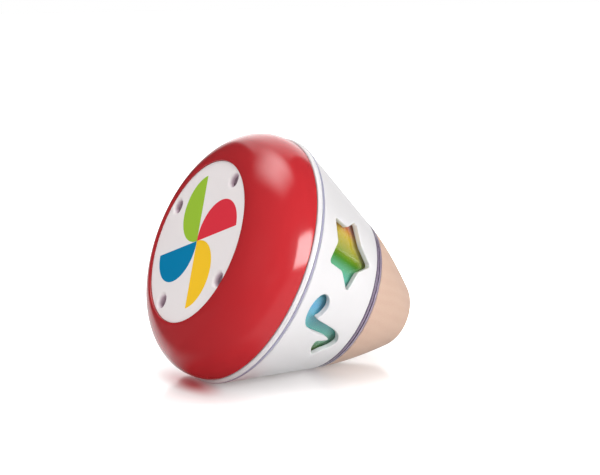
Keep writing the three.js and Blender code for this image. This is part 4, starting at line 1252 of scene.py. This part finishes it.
@dataclass
class TurningTop:
    """The turned wooden top and the coloured drum behind the windows."""

    band: BandCone
    toy_length: float = 115.4
    wood_bottom: float = 78.65
    bulge_radius: float = 30.4
    bulge_height: float = 14.5
    side_end_radius: float = 17.0
    side_end_drop: float = 3.3
    corner_radius: float = 14.6
    flat_radius: float = 10.4
    spigot_radius: float = 29.5
    drum_top: float = 71.5
    drum_floor: float = 31.0
    drum_wall: float = 1.6
    drum_depth: float = 5.3
    plate: float = 2.0
    stem_top: float = 6.0
    stem_foot: float = 4.4
    bore: float = 1.75
    socket: float = 12.0
    screw_circle: float = 20.0
    screw_hole: float = 1.45
    screw_depth: float = 12.0
    drill_point: float = 0.8

    def holes(self, low: float, high: float, point: float = 0.0) -> Shape:
        """Makes the cutter for the three screw holes between two heights, with ends that may be pointed."""
        section = [(0, low), (self.screw_hole, low), (self.screw_hole, high), (0, high + point)]
        return lathe(section, HOLE_SEGMENTS, [on_circle(self.screw_circle, angle) for angle in evenly(3)])

    def build_wood(self, material: Material) -> None:
        """Builds the wooden top in one flowing curve with softened edges."""
        length, bottom = self.toy_length, self.wood_bottom
        start = self.band.at(bottom)
        side_end = (self.side_end_radius * FLAT_SHARE, length - self.side_end_drop)
        side = bezier(start, (self.bulge_radius * FLAT_SHARE, bottom + self.bulge_height), side_end, 40)
        corner, flat = self.corner_radius * FLAT_SHARE, self.flat_radius * FLAT_SHARE
        crown = bezier(side_end, (corner, length), (flat, length), 16)
        spigot, foot_height = self.spigot_radius * FLAT_SHARE, self.drum_top + self.band.seam
        foot = rounded([(0, foot_height), (spigot, foot_height), (spigot, bottom), start, side[2]],
                       [0, 0.6, 0.4, 0.5, 0], 4)
        wood = turned_object("wood_top_skin", foot[:-1] + side[2:] + crown + [(0, length)])
        cut_out(wood, self.holes(
            self.drum_top - 1, self.drum_top - self.plate + self.screw_depth + 1, self.drill_point))
        dress(wood, material, Body.TOP, Slot.BEECH, "wood_top")

    def build_drum(self, material: Material) -> None:
        """Builds the coloured drum with its top plate and centre stem."""
        top, floor, plate = self.drum_top, self.drum_floor, self.drum_top - self.plate
        outer, inner = self.drum_depth, self.drum_depth + self.drum_wall
        band, bore, socket_end = self.band, self.bore, floor + self.socket
        drum = turned_object("drum_skin", rounded([
            (0, top), band.at(top, outer), band.at(floor, outer), band.at(floor, inner),
            band.at(plate, inner), (self.stem_top, plate), (self.stem_foot, floor), (bore, floor),
            (bore, socket_end), (0, socket_end),
        ], [0, 0.8, 0.4, 0.3, 1.0, 1.2, 0.3, 0.1, 0, 0], 4))
        cut_out(drum, self.holes(plate - 1, top + 1))
        dress(drum, material, Body.TOP, Slot.DRUM, "colour_drum")


@dataclass
class CrossScrews:
    """Pan-head screws with a cross recess that stand for the plain CAD ones."""

    recess_share: float = 0.62
    recess_width_share: float = 0.2
    rim_share: float = 0.9
    side_share: float = 0.45
    crown_share: float = 0.62
    crown_round: float = 0.4
    tip_share: float = 0.35
    root_share: float = 0.86
    pitch_share: float = 0.7
    groove_share: float = 0.8
    crest_share: float = 0.84
    crest_rise: float = 0.14
    flank_share: float = 0.3
    segments: int = 24
    thread_steps: int = 14
    fade_steps: int = 7

    def build(self, material: Material) -> None:
        """Replaces every CAD screw by a finished one of the same size and place."""
        bodies = frame["record"]["behaviour"]["bodies"]
        for name in sorted(frame["nodes"]):
            if "screw" in name:
                body = next(body for body, nodes in bodies.items() if name in nodes)
                self.build_one(name, Body(body), material)

    def build_one(self, name: str, body: Body, material: Material) -> None:
        """Measures one CAD screw in its own direction and builds the finished one there.

        Args:
            name: The screw's CAD node.
            body: The body that it rides on.
            material: Its material.
        """
        into_toy = TOY.inverted()
        corners = [into_toy @ vert.co / MM for vert in frame["nodes"][name].data.vertices]
        x, y = ((min(c[axis] for c in corners) + max(c[axis] for c in corners)) / 2 for axis in (0, 1))
        reach = [math.hypot(c.x - x, c.y - y) for c in corners]
        head = max(reach)
        head_heights = [c.z for c, r in zip(corners, reach) if r > head * self.rim_share]
        shank = max(r for r in reach if r < head * self.rim_share)
        low, high = min(c.z for c in corners), max(c.z for c in corners)
        head_low, head_high = min(head_heights), max(head_heights)
        upwards = head_high > (low + high) / 2
        rise = head_high - head_low
        length = (head_low - low) if upwards else (high - head_high)
        flat, root = head * math.cos(math.pi / 6), shank * self.root_share
        crown = rise * self.crown_round
        shape = lathe(rounded([
            (0, -length), (shank * self.tip_share, -length), (root, -length * self.root_share), (root, 0),
            (flat, 0), (flat, rise * self.side_share), (flat * self.crown_share, rise), (0, rise),
        ], [0, 0.05, 0.1, 0.05, 0.08, crown, crown, 0], 3), self.segments)
        self.thread(shape, shank, length)
        flip = Matrix.Identity(4) if upwards else Matrix.Rotation(math.pi, 4, "X")
        place = Matrix.Translation((x, y, head_low if upwards else head_high)) @ flip
        screw = mesh_object(f"{name}_skin", shape, weighted=False, place=place)
        size = (flat * self.recess_share * 2, flat * self.recess_width_share * 2, rise, 1)
        for turn in (0, math.pi / 2):
            recess = bmesh.new()
            arm = Matrix.Translation((0, 0, rise)) @ Matrix.Rotation(turn, 4, "Z") @ Matrix.Diagonal(size)
            bmesh.ops.create_cube(recess, size=1, matrix=arm)
            cut_out(screw, recess, place)
        dress(screw, material, body, Slot.SCREW, name)

    def thread(self, shape: Shape, shank: float, length: float) -> None:
        """Winds a thread round a screw's shank.

        Args:
            shape: The shape to add to.
            shank: The thread's outer radius.
            length: The shank's length.
        """
        pitch, groove = shank * self.pitch_share, shank * self.groove_share
        flank = pitch * self.flank_share
        start, end = -length * self.root_share, -pitch
        turns = (end - start) / pitch
        steps = max(12, round(turns * self.thread_steps))
        rings = []
        for i in range(steps + 1):
            angle = 2 * math.pi * turns * i / steps
            height = start + (end - start) * i / steps
            fade = min(1.0, i / self.fade_steps, (steps - i) / self.fade_steps)
            crest = shank * (self.crest_share + self.crest_rise * fade)
            corners = ((groove, -flank), (crest, 0.0), (groove, flank))
            across, up = math.cos(angle), math.sin(angle)
            rings.append([shape.verts.new((radius * across, radius * up, height + lift))
                          for radius, lift in corners])
        join_rings(shape, rings)
        shape.faces.new(rings[0])
        shape.faces.new(rings[-1][::-1])


@dataclass
class Movement:
    """The musical movement inside the dome: CAD nodes that keep their shape and get real finishes."""

    finishes: dict[str, tuple[str, ...]] = field(default_factory=lambda: {
        "cast_zinc": ("bedplate",),
        "blued_spring": ("mainspring",),
        "pressed_steel": (
            "spring_housing", "housing_bridge", "governor_frame", "ratchet_wheel", "ratchet_pawl"),
        "turned_steel": ("winding_arbor", "cylinder_shaft", "second_arbor", "worm_shaft"),
        "comb_steel": ("comb",),
        "turned_brass": (
            "crown_wheel", "pinned_cylinder", "cylinder_pinion", "cylinder_wheel", "second_pinion",
            "worm_wheel", "air_brake_fan"),
    })

    def dress(self, materials: dict[str, Material]) -> None:
        """Gives each CAD node of the movement its material."""
        for finish, names in self.finishes.items():
            for name in names:
                node = frame["nodes"][name]
                node.data.materials.clear()
                node.data.materials.append(materials[finish])
                LOG.info("%s: CAD shape in %s", name, finish)


# Studio


@dataclass(frozen=True)
class Panel:
    """One glowing sheet of the studio: either it lights the toy or it is mirrored in it."""

    name: str
    towards: Triple
    distance: float
    size: Point
    strength: float
    softness: Point
    mirrored: bool
    roll: float = 0.0


@dataclass(frozen=True)
class Lamp:
    """One soft rectangular lamp, with its power in watts."""

    name: str
    place: Triple
    size: Point
    power: float


@dataclass(frozen=True)
class Spot:
    """A soft coloured spot of painted light on the floor, and the shares of its size between which it fades."""

    colour: Colour
    middle: Triple
    size: Triple
    reach: Point


PANELS = (
    Panel("overhead", (-0.08, 0.17, 0.97), 1.0, (0.8, 1.2), 5.1, (1.0, 1.0), False),
    Panel("side", (0.30, -0.87, 0.30), 0.9, (0.52, 0.44), 10.8, (0.12, 0.12), False),
    Panel("back", (0.42, 0.74, 0.50), 1.4, (0.96, 0.86), 1.0, (0.12, 0.12), False),
    Panel("overhead_mirrored", (-0.06, 0.19, 0.97), 1.0, (0.86, 1.2), 5.6, (0.75, 1.0), True),
    Panel("side_mirrored", (0.541, -0.826, 0.165), 0.9, (0.6, 0.52), 12.4, (0.25, 0.4), True, -0.22),
    Panel("back_mirrored", (0.4145, 0.718, 0.559), 1.4, (1.12, 1.9), 0.94, (0.12, 0.45), True, -0.29),
)

LAMPS = (
    Lamp("fill", (-0.95, -0.5, 0.55), (0.6, 0.6), 2.0),
    Lamp("low_fill", (-0.5, -0.9, 0.12), (0.6, 0.18), 1.7),
)

# Painted reflection: the dome's red laid into the floor's colour beside its contact, which also tints the floor's
# glow
PAINTED_RED_REFLECTION = Spot(
    colour=(0.52, 0.09, 0.10), middle=(-0.0515, -0.0014, 0.0), size=(0.009, 0.023, 1.0), reach=(0.1, 1.35))
# Painted reflection: the red that the floor under the dome shows to glossy rays, so the dome's underside looks red
PAINTED_RED_BOUNCE_MIRRORED = Spot(
    colour=(0.5, 0.04, 0.045), middle=(-0.05, -0.028, 0.0), size=(0.022, 0.032, 1.0), reach=(0.8, 1.6))


def flat_sheet(name: str, reach: float) -> Thing:
    """Makes a square sheet that reaches equally far to all sides."""
    mesh = bpy.data.meshes.new(name)
    corners = [(x * reach, y * reach, 0) for x, y in ((-1, -1), (1, -1), (1, 1), (-1, 1))]
    mesh.from_pydata(corners, [], [(0, 1, 2, 3)])
    return add_object(name, mesh)


@dataclass
class Studio:
    """The camera, the pale floor, the white surround, and the panels and lamps."""

    eye: Triple = (-0.3486, -0.6541, 0.1974)
    look: Triple = (0.4701, 0.8645, -0.178)
    lens: float = 96.0
    sensor: float = 36.0
    clip: Point = (0.01, 50.0)
    middle: Triple = (0.0, 0.0, 0.055)
    floor_reach: float = 4.0
    floor_roughness: float = 0.16
    floor_shine: float = 0.6
    floor_white: Colour = (0.8, 0.8, 0.8)
    floor_glow: Point = (0.2, 1.0)
    floor_mirrored: Point = (0.6, 0.08)
    mirror_reach: Point = (0.15, 0.7)
    shadow_reach: Point = (0.05, 0.2)
    shadow_squeeze: float = 2.2
    backdrop_mirrored: float = 1.0
    backdrop_start: Point = (0.0, 0.03)
    flag_slant: float = 0.15
    flag_edge: Point = (-0.085, -0.062)
    flag_mirrored: float = 0.12
    glow: Colour = (1.25, 1.25, 1.25)
    # Painted warm bounce: the floor's glow to the camera turns warmer near the toy
    painted_warm_bounce: Colour = (1.25, 1.13, 1.11)
    room_depth: Point = (0.4, 0.85)
    room_light: Point = (0.66, 0.8)
    room_mirrored: Point = (0.03, 0.85)
    room_flag: Point = (0.15, 0.3)

    def build_camera(self) -> None:
        """Stands the camera where the photograph was taken."""
        data = bpy.data.cameras.new("view")
        data.lens, data.sensor_width = self.lens, self.sensor
        data.clip_start, data.clip_end = self.clip
        camera = add_object("view", data)
        camera.location = self.eye
        camera.rotation_euler = Vector(self.look).to_track_quat("-Z", "Y").to_euler()
        bpy.context.scene.camera = camera

    @staticmethod
    def spotted(tree: Tree, place: Socket, spot: Spot, around: Colour) -> Socket:
        """Adds a spot's colour, which fades into the colour around it."""
        within = tree.placed(place, spot.middle, Scale=spot.size)
        return tree.tint(tree.faded(within, spot.reach), spot.colour, around)

    def build_floor(self) -> None:
        """Lays the pale floor, which keeps the toy's shadow and goes to white round it. Beside the dome's contact
        it carries painted red reflection, near the toy its glow is warmer as painted warm bounce, and glossy rays
        see painted red bounce under the dome.
        """
        floor = flat_sheet("floor", self.floor_reach)
        material, tree, shader = start_material("pale_floor")
        place = tree.add("TexCoord").outputs["Object"]
        fade = tree.faded(tree.scaled(place, (1.0, self.shadow_squeeze, 1.0)), self.shadow_reach)
        # Painted reflection: the floor's colour turns red beside the dome's contact
        painted_reflection = self.spotted(tree, place, PAINTED_RED_REFLECTION, self.floor_white)
        tree.fill(shader, {
            "Base Color": painted_reflection, "Roughness": self.floor_roughness,
            "Specular IOR Level": self.floor_shine})
        # The glow's colour is painted warm bounce near the toy and white further out
        lit = tree.tint(1.0, painted_reflection, tree.tint(fade, self.painted_warm_bounce, self.glow), blend_type="MULTIPLY")
        seen = tree.ray_is("Camera", "Transmission")
        glow = tree.emission(lit, tree.maths("MULTIPLY", seen, tree.spread(fade, *self.floor_glow)))
        total = tree.add("AddShader", {0: shader.outputs[0], 1: glow}).outputs[0]
        dim = tree.remap(tree.length(place), *self.mirror_reach, *self.floor_mirrored)
        across = tree.parts(place)
        behind = tree.remap(across["Y"], *self.backdrop_start, 0.0, self.backdrop_mirrored)
        slanted = tree.maths("MULTIPLY_ADD", across["Y"], self.flag_slant, across["X"])
        open_side = tree.remap(slanted, *self.flag_edge, self.flag_mirrored, soft=True)
        level = tree.maths("MULTIPLY", open_side, tree.maths("MAXIMUM", dim, behind))
        # Painted reflection: seen in glossy surfaces, the floor under the dome is red
        mirrored = tree.emission(self.spotted(tree, place, PAINTED_RED_BOUNCE_MIRRORED, WHITE), level)
        tree.show(tree.mixed(tree.ray_is("Glossy"), total, mirrored))
        floor.data.materials.append(material)

    def build_world(self) -> None:
        """Sets a white surround that lights softly and shows white to the camera, metal and glass."""
        world = bpy.data.worlds.new("surround")
        world.use_nodes = True
        bpy.context.scene.world = world
        tree = Tree(world.node_tree)
        towards = tree.parts(tree.add("TexCoord").outputs["Generated"])
        depth = tree.remap(towards["Y"], *self.room_depth)
        open_side = tree.remap(towards["X"], *self.room_flag)
        bright = tree.spread(tree.maths("MULTIPLY", depth, open_side), *self.room_mirrored)
        soft = world.node_tree.nodes["Background"]
        tree.fill(soft, {"Color": WHITE, "Strength": tree.spread(depth, *self.room_light)})
        mirrored, white = (tree.add("Background", {"Color": WHITE, "Strength": strength}).outputs[0]
                           for strength in (bright, 1.0))
        unseen = tree.mixed(tree.ray_is("Glossy"), soft.outputs[0], mirrored)
        tree.show(tree.mixed(tree.ray_is("Camera", "Transmission"), unseen, white), "World Output")

    def add_lamp(self, lamp: Lamp) -> None:
        """Hangs one lamp that points at the toy's middle and isn't mirrored."""
        data = bpy.data.lights.new(lamp.name, "AREA")
        data.shape, data.size, data.size_y, data.energy = "RECTANGLE", *lamp.size, lamp.power
        thing = add_object(lamp.name, data)
        thing.location = lamp.place
        aim = Vector(self.middle) - Vector(lamp.place)
        thing.rotation_euler = aim.to_track_quat("-Z", "Y").to_euler()
        thing.visible_glossy = False

    def add_panel(self, panel: Panel) -> None:
        """Hangs one glowing panel that fades towards its edges and that the camera doesn't see.

        Args:
            panel: The panel's place, size and light.
        """
        sheet = flat_sheet(panel.name, 1)
        towards = Vector(panel.towards)
        width, height = panel.size
        sheet.matrix_world = (
            Matrix.Translation(towards.normalized() * panel.distance + Vector(self.middle))
            @ towards.to_track_quat("Z", "Y").to_matrix().to_4x4() @ Matrix.Rotation(panel.roll, 4, "Z")
            @ Matrix.Diagonal((width / 2, height / 2, 1, 1)))
        sheet.visible_camera = False
        sheet.visible_glossy = panel.mirrored
        sheet.visible_diffuse = sheet.visible_transmission = not panel.mirrored
        material, tree, _ = start_material(panel.name)
        across = tree.parts(tree.add("TexCoord").outputs["Object"])
        edge = [tree.remap(tree.maths("ABSOLUTE", across[axis]), 1.0, 1 - softness, soft=True)
                for axis, softness in zip("XY", panel.softness)]
        glow = tree.emission(WHITE, tree.maths("MULTIPLY", tree.maths("MULTIPLY", *edge), panel.strength))
        if panel.mirrored:
            glow = tree.add("AddShader", {0: glow, 1: tree.add("BsdfTransparent").outputs[0]}).outputs[0]
        tree.show(glow)
        sheet.data.materials.append(material)

    def build(self) -> None:
        """Builds the camera, the floor, the surround, and the panels and lamps."""
        self.build_camera()
        self.build_floor()
        self.build_world()
        for panel in PANELS:
            self.add_panel(panel)
        for lamp in LAMPS:
            self.add_lamp(lamp)
        bpy.context.scene.view_settings.view_transform = "Standard"


RAINBOW = (
    (0.0, srgb(186, 26, 20)), (0.12, srgb(204, 92, 2)), (0.22, srgb(198, 168, 6)),
    (0.49, srgb(70, 130, 24)), (0.7, srgb(88, 188, 166)), (1.0, srgb(84, 158, 193)))

# Painted refraction and shade: the dark and light grey-violet lines that the clear collar shows, laid into its
# colour
COLLAR_PAINTED_REFRACTIONS = (
    (74.4, srgb(106, 90, 116)), (75.0, srgb(148, 132, 156)), (75.6, srgb(188, 175, 192)),
    (76.2, srgb(98, 82, 110)), (76.7, srgb(108, 92, 120)), (77.3, srgb(204, 190, 208)),
    (78.4, srgb(140, 122, 142)))

INKS = {
    "ink_green": srgb(152, 190, 56), "ink_red": srgb(216, 50, 65), "ink_yellow": srgb(244, 195, 42),
    "ink_blue": srgb(0, 123, 169)}

FINISHES = (
    PlasticFinish("glossy_red", srgb(171, 38, 43), 0.14, smudge=0.02, ripple=0.02, drift=0.015, shine=0.45),
    # The disc's wells get painted shade: a darker purple-grey from 0.35 mm in, full at 1.6 mm
    PlasticFinish("pale_disc", srgb(240, 233, 233), 0.4, smudge=0.05, ripple=0.05, ripple_size=0.8,
                  deep=PaintedHollowShade(srgb(182, 157, 170), 0.35, 1.6)),
    PlasticFinish("satin_white", srgb(204, 202, 203), 0.32, smudge=0.04, ripple=0.04, ripple_size=1.5),
    *(PlasticFinish(name, ink, 0.45, ripple=0.05, ripple_size=0.5, shine=0.02)
      for name, ink in INKS.items()),
    ClearFinish("clear_window", (0.98, 0.98, 0.99), shine=0.12),
    # The flange and the collar are darker grey-violet, part-clear copies of the clear plastic: painted shade of
    # the plastic seen edge on
    ClearFinish("clear_flange", srgb(196, 194, 216), 0.45, roughness=0.1, shine=0.4),
    ClearFinish("clear_collar", srgb(200, 194, 214), 0.55, roughness=0.08, shine=0.5, rings=COLLAR_PAINTED_REFRACTIONS),
    RainbowFinish("rainbow_drum", 3, 40.0, RAINBOW),
    WoodFinish("turned_beech", srgb(189, 160, 142), srgb(187, 157, 139), srgb(167, 135, 114)),
    MetalFinish("bright_screw", (0.62, 0.63, 0.65), 0.28, MetalKind.TURNED),
    MetalFinish("cast_zinc", (0.42, 0.43, 0.45), 0.45, MetalKind.CAST),
    MetalFinish("blued_spring", (0.16, 0.2, 0.28), 0.3, MetalKind.ROLLED),
    MetalFinish("pressed_steel", (0.5, 0.51, 0.53), 0.32, MetalKind.ROLLED),
    MetalFinish("turned_steel", (0.56, 0.57, 0.59), 0.24, MetalKind.TURNED),
    MetalFinish("comb_steel", (0.6, 0.62, 0.66), 0.22, MetalKind.ROLLED),
    MetalFinish("turned_brass", (0.74, 0.52, 0.2), 0.26, MetalKind.TURNED),
)


def main() -> None:
    """Builds the studio, the finishes and each sub-assembly in order."""
    Studio().build()
    groups = EffectGroups(make_skin_group(), make_drift_group(), make_edge_group())
    materials = {finish.name: finish.build(groups) for finish in FINISHES}
    band = BandCone()
    base = DomedBase(band)
    base.build_dome(materials["glossy_red"])
    base.build_disc(materials["pale_disc"])
    base.build_windmill([materials[name] for name in INKS])
    base.build_chassis(materials["satin_white"])
    windows = WindowBand(band)
    windows.build_sleeve(materials["satin_white"])
    windows.build_cone(materials["clear_window"], materials["clear_flange"])
    windows.build_collar(materials["clear_collar"])
    top = TurningTop(band)
    top.build_wood(materials["turned_beech"])
    top.build_drum(materials["rainbow_drum"])
    CrossScrews().build(materials["bright_screw"])
    Movement().dress(materials)


if __name__ == "__main__":
    main()
